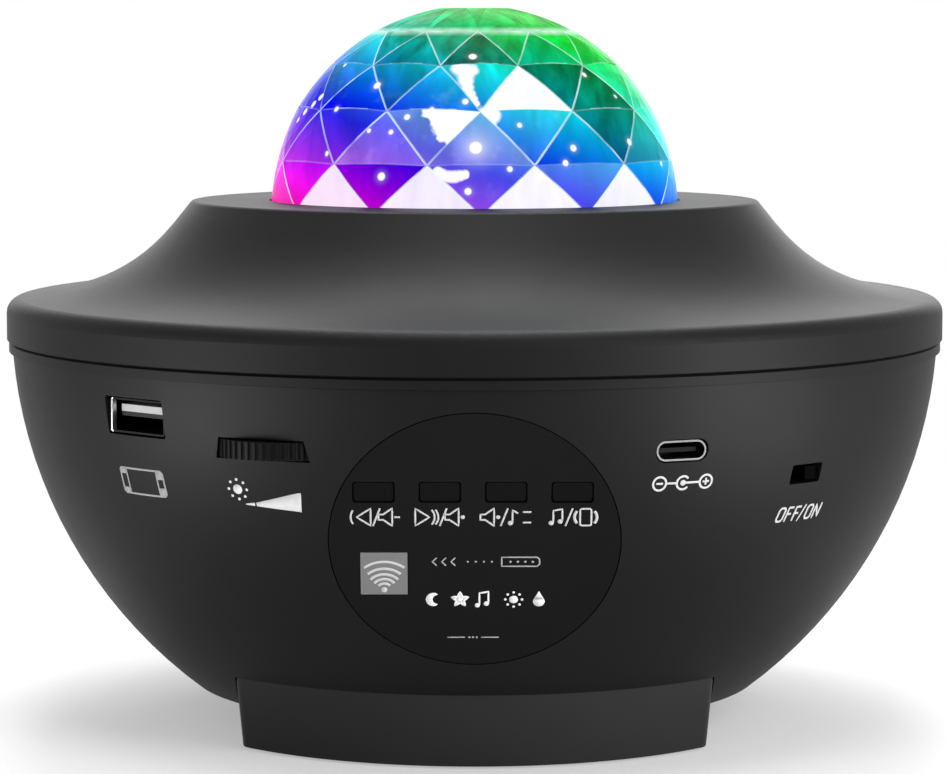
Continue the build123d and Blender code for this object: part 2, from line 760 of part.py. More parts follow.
with BuildPart() as tact_switches:
    with BuildSketch(key_board_face):
        with Locations(*key_points):
            Rectangle(tact_size, tact_size)
    extrude(amount=tact_height)
    bore_plane = key_board_face.offset(tact_height)
    add_discs(bore_plane, key_points, key_stem_radius + slip_gap, -tact_bore_depth, Mode.SUBTRACT)
write_piece(tact_switches, "tact_switches")

with BuildPart() as ir_receiver:
    with BuildSketch(key_board_face):
        with Locations(ir_window_centre):
            Rectangle(ir_receiver_size[0], ir_receiver_size[1])
    extrude(amount=ir_receiver_size[2])
    receiver_face = key_board_face.offset(ir_receiver_size[2])
    with Locations(receiver_face):
        with Locations((*ir_window_centre, 0)):
            Sphere(ir_lens_radius)
write_piece(ir_receiver, "ir_receiver")

# ---- Main board ----------------------------------------------------------------------------------
with BuildPart() as main_board:
    with BuildSketch(Plane.XY.offset(board_bottom)):
        Circle(board_radius)
        with Locations((0, board_rear + board_radius)):
            Rectangle(2 * board_radius, 2 * board_radius, mode=Mode.SUBTRACT)
        with Locations((0, board_notch_front - board_radius)):
            Rectangle(2 * board_notch_half_width, 2 * board_radius, mode=Mode.SUBTRACT)
        with Locations(*post_points):
            Circle(post_radius + slip_gap, mode=Mode.SUBTRACT)
        with Locations(*board_standoffs):
            Circle(m2_shank_radius + shank_gap, mode=Mode.SUBTRACT)
        with Locations(dial_point):
            Circle(pot_radius + slip_gap, mode=Mode.SUBTRACT)
        with Locations(ring_points(dial_axis_distance + board_radius / 2, (dial_azimuth,))[0]):
            Rectangle(2 * (pot_radius + slip_gap), board_radius, rotation=dial_azimuth, mode=Mode.SUBTRACT)
    extrude(amount=board_thickness)
write_piece(main_board, "main_board")

board_face = Plane.XY.offset(board_top)
with BuildPart() as board_chips:
    for size, place in zip(chip_sizes, chip_places):
        with BuildSketch(board_face):
            with Locations(place):
                Rectangle(size[0], size[1])
        extrude(amount=size[2])
write_piece(board_chips, "board_chips")

with BuildPart() as board_capacitors:
    add_discs(board_face, capacitor_places, capacitor_radius, capacitor_height)
write_piece(board_capacitors, "board_capacitors")

# ---- Sockets -------------------------------------------------------------------------------------
usb_a_inner = (usb_a_shell_size[0] - 2 * usb_shell_wall, usb_a_shell_size[1] - 2 * usb_shell_wall)
with BuildPart() as usb_a_shell:
    with BuildSketch(usb_a_mouth):
        RectangleRounded(*usb_a_shell_size, socket_hole_round)
        Rectangle(*usb_a_inner, mode=Mode.SUBTRACT)
    extrude(amount=-usb_a_length)
write_piece(usb_a_shell, "usb_a_shell")

with BuildPart() as usb_a_insert:
    usb_a_back = usb_a_mouth.offset(-usb_a_length)
    with BuildSketch(usb_a_back):
        Rectangle(*usb_a_inner)
    extrude(amount=socket_plug_length)
    with BuildSketch(usb_a_back):
        with Locations((0, usb_a_tongue_rise)):
            Rectangle(*usb_a_tongue)
    extrude(amount=usb_a_length - usb_a_tongue_setback)
    stand_height = usb_a_height - usb_a_shell_size[1] / 2 - board_top
    with BuildSketch(usb_a_back):
        with Locations((0, -stand_height / 2)):
            Rectangle(usb_a_shell_size[0], usb_a_shell_size[1] + stand_height)
    extrude(amount=-usb_a_back_wall)
    with BuildSketch(usb_a_back):
        with Locations((0, -(usb_a_shell_size[1] + stand_height) / 2)):
            Rectangle(usb_a_shell_size[0], stand_height)
    extrude(amount=usb_a_stand_length)
write_piece(usb_a_insert, "usb_a_insert")

with BuildPart() as usb_a_contacts:
    with BuildSketch(usb_a_mouth.offset(socket_plug_length - usb_a_length)):
        contact_drop = usb_a_tongue_rise - usb_a_tongue[1] / 2 - usb_a_contact[1] / 2
        with Locations((0, contact_drop)):
            with GridLocations(usb_a_contact_pitch, 0, 4, 1):
                Rectangle(*usb_a_contact)
    extrude(amount=usb_a_length - socket_plug_length - 2 * usb_a_tongue_setback)
write_piece(usb_a_contacts, "usb_a_contacts")

usb_c_inner = (usb_c_shell_size[0] - 2 * usb_shell_wall, usb_c_shell_size[1] - 2 * usb_shell_wall)
with BuildPart() as usb_c_shell:
    with BuildSketch(usb_c_mouth):
        SlotOverall(*usb_c_shell_size)
        SlotOverall(*usb_c_inner, mode=Mode.SUBTRACT)
    extrude(amount=-usb_c_length)
write_piece(usb_c_shell, "usb_c_shell")

with BuildPart() as usb_c_insert:
    with BuildSketch(usb_c_mouth.offset(-usb_c_length)):
        SlotOverall(*usb_c_inner)
    extrude(amount=usb_c_plug_length)
    with BuildSketch(usb_c_mouth.offset(-usb_c_length)):
        Rectangle(*usb_c_tongue)
    extrude(amount=usb_c_length - usb_c_tongue_setback)
write_piece(usb_c_insert, "usb_c_insert")

# ---- Power switch: the knob rests at ON and slides by its travel to OFF --------------------------
switch_front = wall_plane(switch_azimuth, switch_height, switch_face)
knob_shift = switch_travel / 2
slider_foot_height = switch_knob[1] + 2 * slip_gap
cavity = (switch_foot_width + switch_travel + 2 * slip_gap, slider_foot_height + 2 * slip_gap)
with BuildPart() as power_switch_body:
    with BuildSketch(switch_front):
        Rectangle(*switch_body)
    extrude(amount=-switch_body_depth)
    with BuildSketch(switch_front.offset(-switch_front_wall)):
        Rectangle(*cavity)
    extrude(amount=-switch_cavity_depth, mode=Mode.SUBTRACT)
    with BuildSketch(switch_front):
        Rectangle(switch_knob[0] + switch_travel + 2 * slip_gap, switch_knob[1] + 2 * slip_gap)
    extrude(amount=-switch_cavity_depth, mode=Mode.SUBTRACT)
write_piece(power_switch_body, "power_switch_body")

with BuildPart() as power_switch_slider:
    knob_root = switch_front.offset(-switch_front_wall - slip_gap)
    knob_reach = bowl_reach(bowl_radius, switch_height) - switch_knob_sink - switch_face
    with BuildSketch(knob_root):
        with Locations((knob_shift, 0)):
            Rectangle(*switch_knob)
    extrude(amount=knob_reach + switch_front_wall + slip_gap)
    with BuildSketch(knob_root):
        with Locations((knob_shift, 0)):
            Rectangle(switch_foot_width, slider_foot_height)
    extrude(amount=-switch_foot_depth)
write_piece(power_switch_slider, "power_switch_slider")

# ---- Brightness dial -----------------------------------------------------------------------------
dial_base = Plane.XY.offset(dial_height - dial_thickness / 2)
with BuildPart() as brightness_dial:
    with BuildSketch(dial_base):
        with Locations(dial_point):
            Circle(dial_radius)
            Circle(dial_spindle_radius, mode=Mode.SUBTRACT)
            with PolarLocations(dial_radius, dial_ridges):
                Circle(dial_groove_radius, mode=Mode.SUBTRACT)
    extrude(amount=dial_thickness)
write_piece(brightness_dial, "brightness_dial")

with BuildPart() as dial_spindle:
    spindle_length = dial_thickness + dial_float + pot_bore_depth - thrust_gap
    add_discs(dial_base.offset(dial_thickness), [dial_point], dial_spindle_radius, -spindle_length)
    add_discs(dial_base.offset(dial_thickness), [dial_point], dial_cap_radius, dial_cap_height)
write_piece(dial_spindle, "dial_spindle")

with BuildPart() as dial_potentiometer:
    add_discs(board_face, [dial_point], pot_radius, -pot_height)
    tab_distance = dial_axis_distance - pot_radius - pot_tab[1] / 2
    with BuildSketch(Plane.XY.offset(board_bottom)):
        with Locations(ring_points(tab_distance, (dial_azimuth,))[0]):
            Rectangle(pot_tab[0], pot_tab[1] + pot_radius, rotation=dial_azimuth)
    extrude(amount=-pot_tab[2])
    add_discs(board_face, [dial_point], dial_spindle_radius + running_gap, -pot_bore_depth, Mode.SUBTRACT)
write_piece(dial_potentiometer, "dial_potentiometer")

# ---- Speaker: it fires down through the bowl's floor and the foot's grille -----------------------
flange_top = speaker_seat_height + speaker_sheet
basket_top = speaker_seat_height + basket_height
web_top = basket_top + speaker_sheet
with BuildPart() as speaker_frame:
    with BuildSketch(Plane.XZ):
        Polygon(
            (speaker_mouth_radius, speaker_seat_height),
            (speaker_flange_radius, speaker_seat_height),
            (speaker_flange_radius, flange_top),
            (speaker_mouth_radius + speaker_sheet, flange_top),
            (basket_top_radius, web_top),
            (coil_radius + 2 * coil_gap, web_top),
            (coil_radius + 2 * coil_gap, basket_top),
            (basket_top_radius - basket_corner, basket_top),
            (speaker_mouth_radius, flange_top),
            align=None,
        )
    revolve(axis=Axis.Z)
    with BuildSketch(Plane.XY.offset(speaker_seat_height)):
        with PolarLocations(basket_top_radius + basket_window_depth / 2, basket_window_count):
            Rectangle(basket_window_depth, basket_window_width)
    window_height = basket_height - 2 * speaker_sheet
    extrude(amount=window_height, mode=Mode.SUBTRACT)
    add_discs(seat_plane, speaker_points, m2_shank_radius + shank_gap, speaker_sheet, Mode.SUBTRACT)
    add_discs(Plane.XY.offset(web_top), [(0, 0)], yoke_radius, top_plate_thickness)
    plate_bore = coil_radius + coil_wall + coil_gap
    plate_depth = speaker_sheet + top_plate_thickness
    add_discs(Plane.XY.offset(basket_top), [(0, 0)], plate_bore, plate_depth, Mode.SUBTRACT)
    terminal_end = basket_top_radius + terminal_reach
    with BuildSketch(Plane.XY.offset(basket_top)):
        with Locations((terminal_end - terminal_size[0] / 2, 0)):
            Rectangle(terminal_size[0], terminal_size[1])
    extrude(amount=terminal_size[2])
write_piece(speaker_frame, "speaker_frame")

magnet_base = web_top + top_plate_thickness
with BuildPart() as speaker_magnet:
    with BuildSketch(Plane.XY.offset(magnet_base)):
        Circle(magnet_radius)
        Circle(magnet_bore_radius, mode=Mode.SUBTRACT)
    extrude(amount=magnet_height)
write_piece(speaker_magnet, "speaker_magnet")

yoke_base = magnet_base + magnet_height
with BuildPart() as speaker_yoke:
    add_discs(Plane.XY.offset(yoke_base), [(0, 0)], yoke_radius, yoke_thickness)
    add_discs(Plane.XY.offset(web_top), [(0, 0)], pole_radius, yoke_base - web_top)
write_piece(speaker_yoke, "speaker_yoke")

cone_rim_height = speaker_seat_height + cone_rise
cone_neck_height = cone_rim_height + cone_depth
with BuildPart() as speaker_cone:
    with BuildSketch(Plane.XZ):
        with BuildLine():
            Polyline(
                (coil_radius + coil_wall, cone_neck_height),
                (cone_rim_radius, cone_rim_height + cone_sheet),
                (cone_rim_radius, cone_rim_height),
                (coil_radius + coil_wall, cone_neck_height - cone_sheet),
            )
            cap_edge = (coil_radius + coil_wall, cone_neck_height - cone_sheet)
            cap_height = cap_edge[1] - cap_bulge
            Spline(cap_edge, (0, cap_height), tangents=((-1, -cap_slope), (-1, 0)))
            Line((0, cap_height), (0, cap_height + cone_sheet))
            Spline(
                (0, cap_height + cone_sheet),
                (coil_radius + coil_wall, cone_neck_height),
                tangents=((1, 0), (1, cap_slope)),
            )
        make_face()
    revolve(axis=Axis.Z)
write_piece(speaker_cone, "speaker_cone")

with BuildPart() as voice_coil:
    with BuildSketch(Plane.XY.offset(cone_neck_height)):
        Circle(coil_radius + coil_wall)
        Circle(coil_radius, mode=Mode.SUBTRACT)
    extrude(amount=coil_length)
write_piece(voice_coil, "voice_coil")

with BuildPart() as speaker_surround:
    roll_inner = cone_rim_radius + soft_gap
    roll_outer = speaker_mouth_radius - soft_gap
    roll_middle = (roll_inner + roll_outer) / 2
    with BuildSketch(Plane.XZ):
        with BuildLine():
            ThreePointArc(
                (roll_inner, cone_rim_height),
                (roll_middle, cone_rim_height - roll_radius),
                (roll_outer, cone_rim_height),
            )
            Line((roll_outer, cone_rim_height), (roll_outer, cone_rim_height + spider_sheet))
            ThreePointArc(
                (roll_outer, cone_rim_height + spider_sheet),
                (roll_middle, cone_rim_height + spider_sheet - roll_radius),
                (roll_inner, cone_rim_height + spider_sheet),
            )
            Line((roll_inner, cone_rim_height + spider_sheet), (roll_inner, cone_rim_height))
        make_face()
    revolve(axis=Axis.Z)
write_piece(speaker_surround, "speaker_surround")

with BuildPart() as speaker_spider:
    spider_base = cone_neck_height + spider_rise
    basket_narrowing = speaker_mouth_radius - basket_top_radius + basket_corner
    spider_rise_share = (spider_base + spider_sheet - flange_top) / (basket_height - speaker_sheet)
    spider_outer = speaker_mouth_radius - basket_narrowing * spider_rise_share - soft_gap
    with BuildSketch(Plane.XY.offset(spider_base)):
        Circle(spider_outer)
        Circle(coil_radius + coil_wall + soft_gap, mode=Mode.SUBTRACT)
    extrude(amount=spider_sheet)
write_piece(speaker_spider, "speaker_spider")

# ---- Light engine carrier ------------------------------------------------------------------------
gear_base = frame_floor_top + gear_lift


def drive_point(pitch_radius, direction):
    """The axis of a gear that meshes with the disc gear, in a direction turned from +X."""
    distance = disc_pitch_radius + pitch_radius + gear_spread
    return (distance * cos(radians(direction)), distance * sin(radians(direction)))


def mesh_turn(teeth, direction):
    """How far to turn a gear so that its teeth stand in the disc gear's gaps."""
    teeth_passed = direction * disc_teeth / 360
    share = teeth_passed - int(teeth_passed)
    return direction + 180 + (share + 0.5) * 360 / teeth


def draw_gear(teeth, turn):
    """A spur gear: its root disc and trapezoid teeth, one of them at the angle of turn."""
    pitch_radius = gear_module * teeth / 2
    root = -gear_dedendum - gear_module / 2
    tip_half = gear_tooth_width / 2 - gear_module * gear_flank_slope
    root_half = gear_tooth_width / 2 - root * gear_flank_slope
    Circle(pitch_radius - gear_dedendum)
    with PolarLocations(pitch_radius, teeth, start_angle=turn):
        Polygon(
            (root, -root_half), (gear_module, -tip_half), (gear_module, tip_half), (root, root_half),
            align=None,
        )


pinion_point = drive_point(pinion_pitch_radius, pinion_direction)
grating_point = drive_point(grating_pitch_radius, grating_direction)
bearing_radius = grating_hub_radius + running_gap
lens_azimuths = [45 + i * 360 / lens_count for i in range(lens_count)]
lens_points = ring_points(lens_ring_radius, lens_azimuths)
engine_screw_points = ring_points(engine_screw_ring, quarter_azimuths)
laser_ears = [
    (grating_point[0], grating_point[1] + laser_ear_offset),
    (grating_point[0], grating_point[1] - laser_ear_offset),
]
motor_screw_points = [
    (pinion_point[0] - motor_screw_offset, pinion_point[1]),
    (pinion_point[0] + motor_screw_offset, pinion_point[1]),
]
frame_plane = Plane.XY.offset(frame_base)
with BuildPart() as optics_frame:
    with BuildSketch(frame_plane):
        Circle(frame_radius)
        with PolarLocations(ear_ring_radius / 2, 4):
            Rectangle(ear_ring_radius, ear_width)
        with Locations(*ear_points):
            Circle(ear_width / 2)
            Circle(m3_shank_radius + shank_gap, mode=Mode.SUBTRACT)
        with Locations(*lens_points):
            Circle(lens_radius - lens_flange / 2, mode=Mode.SUBTRACT)
        with Locations(*engine_screw_points):
            Circle(m2_pilot, mode=Mode.SUBTRACT)
        with Locations(*laser_ears):
            Circle(m2_pilot, mode=Mode.SUBTRACT)
        with Locations(*motor_screw_points):
            Circle(m2_shank_radius + shank_gap, mode=Mode.SUBTRACT)
        with Locations(pinion_point):
            Circle(motor_shaft_radius + head_gap, mode=Mode.SUBTRACT)
    extrude(amount=frame_floor)
    with BuildSketch(frame_plane):
        Circle(frame_radius)
        Circle(frame_radius - frame_wall, mode=Mode.SUBTRACT)
    extrude(amount=frame_top - frame_base)
    hub_top = frame_floor_top + disc_hub_rise
    add_discs(frame_plane, [(0, 0)], axle_radius + boss_wall, hub_top - frame_base)
    add_discs(frame_plane, [(0, 0)], axle_radius, hub_top - frame_base, Mode.SUBTRACT)
    bearing_top = gear_base - thrust_gap
    add_discs(frame_plane, [grating_point], bearing_radius + bearing_wall, bearing_top - frame_base)
    add_discs(frame_plane, [grating_point], bearing_radius, bearing_top - frame_base, Mode.SUBTRACT)
write_piece(optics_frame, "optics_frame")

# ---- Star drive: ripple disc, grating wheel, pinion and motor ------------------------------------
gear_plane = Plane.XY.offset(gear_base)
ripple_base = gear_base + gear_thickness - ripple_thickness
with BuildPart() as disc_gear:
    with BuildSketch(gear_plane):
        draw_gear(disc_teeth, 0)
        Circle(ripple_radius - ripple_ledge, mode=Mode.SUBTRACT)
    extrude(amount=gear_thickness)
    ripple_seat = Plane.XY.offset(ripple_base)
    add_discs(ripple_seat, [(0, 0)], ripple_radius + running_gap, ripple_thickness, Mode.SUBTRACT)
write_piece(disc_gear, "disc_gear")

with BuildPart() as ripple_disc:
    add_discs(Plane.XY.offset(ripple_base), [(0, 0)], ripple_radius, ripple_thickness)
    hub_base = hub_top + thrust_gap
    hub_end = gear_base + gear_thickness + ripple_wave_depth
    add_discs(Plane.XY.offset(hub_base), [(0, 0)], ripple_hub_radius, hub_end - hub_base)
    with BuildSketch(Plane.XZ):
        for wave in range(ripple_waves):
            reach = ripple_hub_radius + (wave + 0.5) * ripple_wave_pitch
            with Locations((reach, ripple_base + ripple_thickness)):
                Polygon(
                    (-ripple_wave_pitch / 3, 0), (0, -ripple_wave_depth), (ripple_wave_pitch / 3, 0),
                    align=None,
                )
    revolve(axis=Axis.Z, mode=Mode.SUBTRACT)
    bore_length = hub_end - hub_base
    add_discs(Plane.XY.offset(hub_base), [(0, 0)], axle_radius + running_gap, bore_length, Mode.SUBTRACT)
write_piece(ripple_disc, "ripple_disc")

with BuildPart() as disc_axle:
    axle_seat = Plane.XY.offset(hub_end + thrust_gap)
    add_discs(axle_seat, [(0, 0)], axle_radius, frame_base - hub_end - thrust_gap)
    add_discs(axle_seat, [(0, 0)], axle_head_radius, axle_head_height)
write_piece(disc_axle, "disc_axle")

with BuildPart() as grating_gear:
    with BuildSketch(Plane(origin=(*grating_point, gear_base))):
        draw_gear(grating_teeth, mesh_turn(grating_teeth, grating_direction))
    extrude(amount=gear_thickness)
    add_discs(gear_plane, [grating_point], grating_hub_radius, -grating_hub_reach)
    bore_plane = Plane.XY.offset(gear_base - grating_hub_reach)
    hub_bore = grating_hub_radius - grating_hub_wall
    add_discs(bore_plane, [grating_point], hub_bore, grating_hub_reach + gear_thickness, Mode.SUBTRACT)
    film_plane = Plane.XY.offset(gear_base + gear_thickness - grating_film_thickness)
    film_seat = grating_hub_radius + running_gap
    add_discs(film_plane, [grating_point], film_seat, grating_film_thickness, Mode.SUBTRACT)
write_piece(grating_gear, "grating_gear")

with BuildPart() as grating_film:
    add_discs(film_plane, [grating_point], grating_hub_radius, grating_film_thickness)
write_piece(grating_film, "grating_film")

with BuildPart() as drive_pinion:
    with BuildSketch(Plane(origin=(*pinion_point, gear_base - thrust_gap))):
        draw_gear(pinion_teeth, mesh_turn(pinion_teeth, pinion_direction))
        Circle(motor_shaft_radius, mode=Mode.SUBTRACT)
    extrude(amount=gear_thickness + 2 * thrust_gap)
write_piece(drive_pinion, "drive_pinion")

shaft_base = frame_base - gearbox_size[2] / 2
with BuildPart() as motor_shaft:
    shaft_length = gear_base + gear_thickness + gear_module - shaft_base
    add_discs(Plane.XY.offset(shaft_base), [pinion_point], motor_shaft_radius, shaft_length)
write_piece(motor_shaft, "motor_shaft")

with BuildPart() as gear_motor:
    with BuildSketch(frame_plane):
        with Locations(pinion_point):
            Rectangle(gearbox_size[0], gearbox_size[1])
    extrude(amount=-gearbox_size[2])
    can_top = Plane.XY.offset(frame_base - gearbox_size[2])
    with BuildSketch(can_top):
        with Locations(pinion_point):
            Circle(motor_can_radius)
            Rectangle(2 * motor_can_radius, gearbox_size[1], mode=Mode.INTERSECT)
    extrude(amount=-motor_can_length)
    shaft_hole_depth = gearbox_size[2] / 2 + thrust_gap
    shaft_hole_radius = motor_shaft_radius + running_gap
    add_discs(frame_plane, [pinion_point], shaft_hole_radius, -shaft_hole_depth, Mode.SUBTRACT)
    screw_depth = m2_length - frame_floor + shank_gap
    add_discs(frame_plane, motor_screw_points, m2_pilot, -screw_depth, Mode.SUBTRACT)
write_piece(gear_motor, "gear_motor")

# ---- Laser ---------------------------------------------------------------------------------------
with BuildPart() as laser_holder:
    add_discs(frame_plane, [grating_point], laser_holder_radius, -laser_holder_height)
    with BuildSketch(frame_plane):
        with Locations(grating_point):
            SlotCenterToCenter(2 * laser_ear_offset, laser_ear_width, rotation=90)
    extrude(amount=-laser_ear_thickness)
    holder_bore = laser_radius + running_gap
    add_discs(frame_plane, [grating_point], holder_bore, -laser_holder_height, Mode.SUBTRACT)
    add_discs(frame_plane, laser_ears, m2_shank_radius + shank_gap, -laser_ear_thickness, Mode.SUBTRACT)
write_piece(laser_holder, "laser_holder")

laser_top = frame_base - laser_top_gap
with BuildPart() as laser_module:
    add_discs(Plane.XY.offset(laser_top), [grating_point], laser_radius, -laser_length)
    mouth_plane = Plane.XY.offset(laser_top)
    add_discs(mouth_plane, [grating_point], laser_mouth_radius, -laser_mouth_depth, Mode.SUBTRACT)
write_piece(laser_module, "laser_module")

# ---- Lamp: heat sink, lamp board, emitters, lens holder and lenses -------------------------------
led_board_top = frame_base - lens_holder_height
led_board_base = led_board_top - led_board_thickness
lens_seat = frame_base - lens_seat_drop
with BuildPart() as lens_holder:
    with BuildSketch(frame_plane):
        Circle(lens_holder_radius)
        with Locations(*engine_screw_points):
            Circle(m2_shank_radius + shank_gap, mode=Mode.SUBTRACT)
        with Locations(*lens_points):
            Circle(lens_radius - lens_flange / 2, mode=Mode.SUBTRACT)
    extrude(amount=-lens_holder_height)
    add_discs(frame_plane, lens_points, lens_radius + slip_gap, -lens_seat_drop, Mode.SUBTRACT)
write_piece(lens_holder, "lens_holder")

with BuildPart() as led_lenses:
    for lens_point in lens_points:
        with BuildSketch(Plane(origin=(*lens_point, lens_seat))):
            Circle(lens_radius - lens_flange)
        with BuildSketch(Plane(origin=(*lens_point, lens_seat - lens_drop))):
            Circle(lens_foot_radius)
        loft()
        add_discs(Plane.XY.offset(lens_seat), [lens_point], lens_radius, lens_flange)
write_piece(led_lenses, "led_lenses")

led_plane = Plane.XY.offset(led_board_base)
with BuildPart() as led_board:
    with BuildSketch(led_plane):
        Circle(lens_holder_radius)
        with Locations((-lens_holder_radius, 0)):
            Rectangle(2 * led_board_tab[1], led_board_tab[0])
        with Locations(*engine_screw_points):
            Circle(m2_shank_radius + shank_gap, mode=Mode.SUBTRACT)
    extrude(amount=led_board_thickness)
write_piece(led_board, "led_board")

with BuildPart() as led_emitters:
    emitter_plane = Plane.XY.offset(led_board_top)
    with BuildSketch(emitter_plane):
        with Locations(*lens_points):
            Rectangle(led_size, led_size)
    extrude(amount=led_thickness)
    add_discs(emitter_plane.offset(led_thickness), lens_points, led_window_radius, led_window_height)
write_piece(led_emitters, "led_emitters")

with BuildPart() as heat_sink:
    add_discs(led_plane, [(0, 0)], lens_holder_radius, -sink_plate)
    with BuildSketch(led_plane.offset(-sink_plate)):
        with GridLocations(0, fin_pitch, 1, fin_count):
            Rectangle(2 * lens_holder_radius, fin_thickness)
        Circle(lens_holder_radius, mode=Mode.INTERSECT)
    extrude(amount=-fin_height)
    sink_base = Plane.XY.offset(led_board_base - sink_plate)
    head_clearance = m2_head_radius + head_gap
    add_discs(sink_base, engine_screw_points, head_clearance, -fin_height, Mode.SUBTRACT)
    add_discs(sink_base, engine_screw_points, m2_shank_radius + shank_gap, sink_plate, Mode.SUBTRACT)
write_piece(heat_sink, "heat_sink")

# ---- Fasteners -----------------------------------------------------------------------------------
m3_screw = (m3_shank_radius, m3_head_radius, m3_head_height)
m2_screw = (m2_shank_radius, m2_head_radius, m2_head_height)

with BuildPart() as case_screws:
    add_screws(Plane.XY.offset(post_top - post_web), post_points, *m3_screw, m3_length)
    add_screws(Plane.XY.offset(foot_screw_seat), foot_boss_points, *m3_screw, m3_length)
    add_screws(frame_plane, ear_points, *m3_screw, m3_length)
write_piece(case_screws, "case_screws")


def facing_down(height):
    """A level plane whose normal points down."""
    return Plane(origin=(0, 0, height), x_dir=(1, 0, 0), z_dir=(0, 0, -1))


def mirrored(points):
    """The same points as seen on a plane that faces down, where +Y runs the other way."""
    return [(x, -y) for x, y in points]


with BuildPart() as small_screws:
    add_screws(facing_down(board_top), mirrored(board_standoffs), *m2_screw, m2_length)
    add_screws(key_board_face.offset(-key_board_thickness), key_board_bosses, *m2_screw, m2_length)
    add_screws(facing_down(flange_top), mirrored(speaker_points), *m2_screw, m2_length)
    add_screws(facing_down(frame_floor_top), mirrored(motor_screw_points), *m2_screw, m2_length)
    add_screws(frame_plane.offset(-laser_ear_thickness), laser_ears, *m2_screw, m2_length)
write_piece(small_screws, "small_screws")

with BuildPart() as light_engine_screws:
    add_screws(sink_base, engine_screw_points, *m2_screw, engine_screw_length)
write_piece(light_engine_screws, "light_engine_screws")

# ---- Wiring: each lead is held by its solder joint and its plug ----------------------------------
plug_height = board_top + connector_size[2] / 2
led_tab_end = -lens_holder_radius - led_board_tab[1]
led_tab_middle = led_board_base + led_board_thickness / 2
laser_base = laser_top - laser_length
can_base = frame_base - gearbox_size[2] - motor_can_length
motor_plug_x = motor_lead_bends[-1][0]
terminal_middle = basket_top + terminal_size[2] / 2
speaker_plug_x = terminal_end + speaker_lead_bend[0]
lead_routes = {
    "led_lead": [
        (led_tab_end, 0, led_tab_middle),
        (led_tab_end - led_lead_step, 0, led_tab_middle),
        (led_tab_end - led_lead_step, 0, plug_height),
        (led_tab_end - led_lead_step, connector_rear, plug_height),
    ],
    "laser_lead": [
        (*grating_point, laser_base),
        (*grating_point, plug_height),
        (grating_point[0], connector_rear, plug_height),
    ],
    "motor_lead": [
        (*pinion_point, can_base),
        (*pinion_point, can_base - motor_lead_drop),
        *[(x, y, can_base - drop) for x, y, drop in motor_lead_bends],
        (motor_plug_x, motor_lead_rise, plug_height),
        (motor_plug_x, connector_rear, plug_height),
    ],
    "speaker_lead": [
        (terminal_end, 0, terminal_middle),
        (terminal_end + speaker_lead_start, 0, terminal_middle),
        (speaker_plug_x, speaker_lead_bend[1], basket_top + speaker_lead_bend[2]),
        (speaker_plug_x, speaker_lead_bend[1], plug_height),
        (speaker_plug_x, connector_rear, plug_height),
    ],
}


def bend_radii(route):
    """The largest bend at each corner that leaves a straight stretch on both of its runs."""
    corners = [Vector(*point) for point in route]
    radii = []
    for before, corner, after in zip(corners, corners[1:], corners[2:]):
        run_in = corner - before
        run_out = after - corner
        half_turn = radians(run_in.get_angle(run_out)) / 2
        radii.append(0.45 * min(run_in.length, run_out.length) * cos(half_turn) / sin(half_turn))
    return radii


for lead_name, route in lead_routes.items():
    with BuildPart() as lead:
        with BuildLine() as lead_path:
            FilletPolyline(*route, radius=bend_radii(route))
        start = Vector(*route[0])
        with BuildSketch(Plane(origin=start, z_dir=Vector(*route[1]) - start)):
            Circle(lead_radius)
        sweep()
    write_piece(lead, lead_name)

plug_points = sorted({route[-1][0] for route in lead_routes.values()})
with BuildPart() as board_connectors:
    with BuildSketch(board_face):
        for plug_x in plug_points:
            with Locations((plug_x, connector_rear - connector_size[1] / 2)):
                Rectangle(connector_size[0], connector_size[1])
    extrude(amount=connector_size[2])
write_piece(board_connectors, "board_connectors")

ribbon_root = key_board_face.offset(-key_board_thickness).from_local_coords((0, ribbon_start, 0))
ribbon_turn = ribbon_root - panel_normal * ribbon_run
with BuildPart() as button_ribbon:
    with BuildSketch(Plane.YZ):
        with BuildLine():
            middle = FilletPolyline(
                (ribbon_root.Y, ribbon_root.Z),
                (ribbon_turn.Y, ribbon_turn.Z),
                (ribbon_turn.Y, board_bottom),
                radius=ribbon_bend,
            )
            offset(middle, amount=ribbon_thickness, side=Side.LEFT)
        make_face()
    extrude(amount=ribbon_width / 2, both=True)
write_piece(button_ribbon, "button_ribbon")
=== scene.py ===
import bmesh
import bpy
import random
from math import atan2, cos, degrees, pi, radians, sin, sqrt
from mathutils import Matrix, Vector


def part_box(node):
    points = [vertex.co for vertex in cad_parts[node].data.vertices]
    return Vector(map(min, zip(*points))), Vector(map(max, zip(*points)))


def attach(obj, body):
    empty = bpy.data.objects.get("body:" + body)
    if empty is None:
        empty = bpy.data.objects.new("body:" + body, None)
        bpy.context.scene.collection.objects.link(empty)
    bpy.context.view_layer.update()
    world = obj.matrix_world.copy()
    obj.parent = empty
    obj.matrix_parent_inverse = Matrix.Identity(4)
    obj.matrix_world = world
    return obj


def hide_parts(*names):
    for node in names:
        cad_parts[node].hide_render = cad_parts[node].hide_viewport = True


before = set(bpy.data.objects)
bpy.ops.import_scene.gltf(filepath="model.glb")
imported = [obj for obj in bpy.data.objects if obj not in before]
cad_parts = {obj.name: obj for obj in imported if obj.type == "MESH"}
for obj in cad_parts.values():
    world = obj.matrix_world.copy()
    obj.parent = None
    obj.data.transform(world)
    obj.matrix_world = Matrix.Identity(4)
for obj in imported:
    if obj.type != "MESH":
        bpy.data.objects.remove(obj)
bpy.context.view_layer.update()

# ---- Studio: camera, sweep of pale floor and soft lamps ------------------------------------------
# The lamp stands on a pale table in front of a white wall. Soft boxes light it from above, from
# behind and from the right, and a camera with a long lens looks slightly down at its key panel.
mm = 0.001
picture_width = 947
focal_pixels = 3441.3
camera_place = Vector((-0.2, -621.7, 120.06)) * mm
camera_target = Vector((-0.2, 0, 58.64)) * mm
floor_size = 4.0

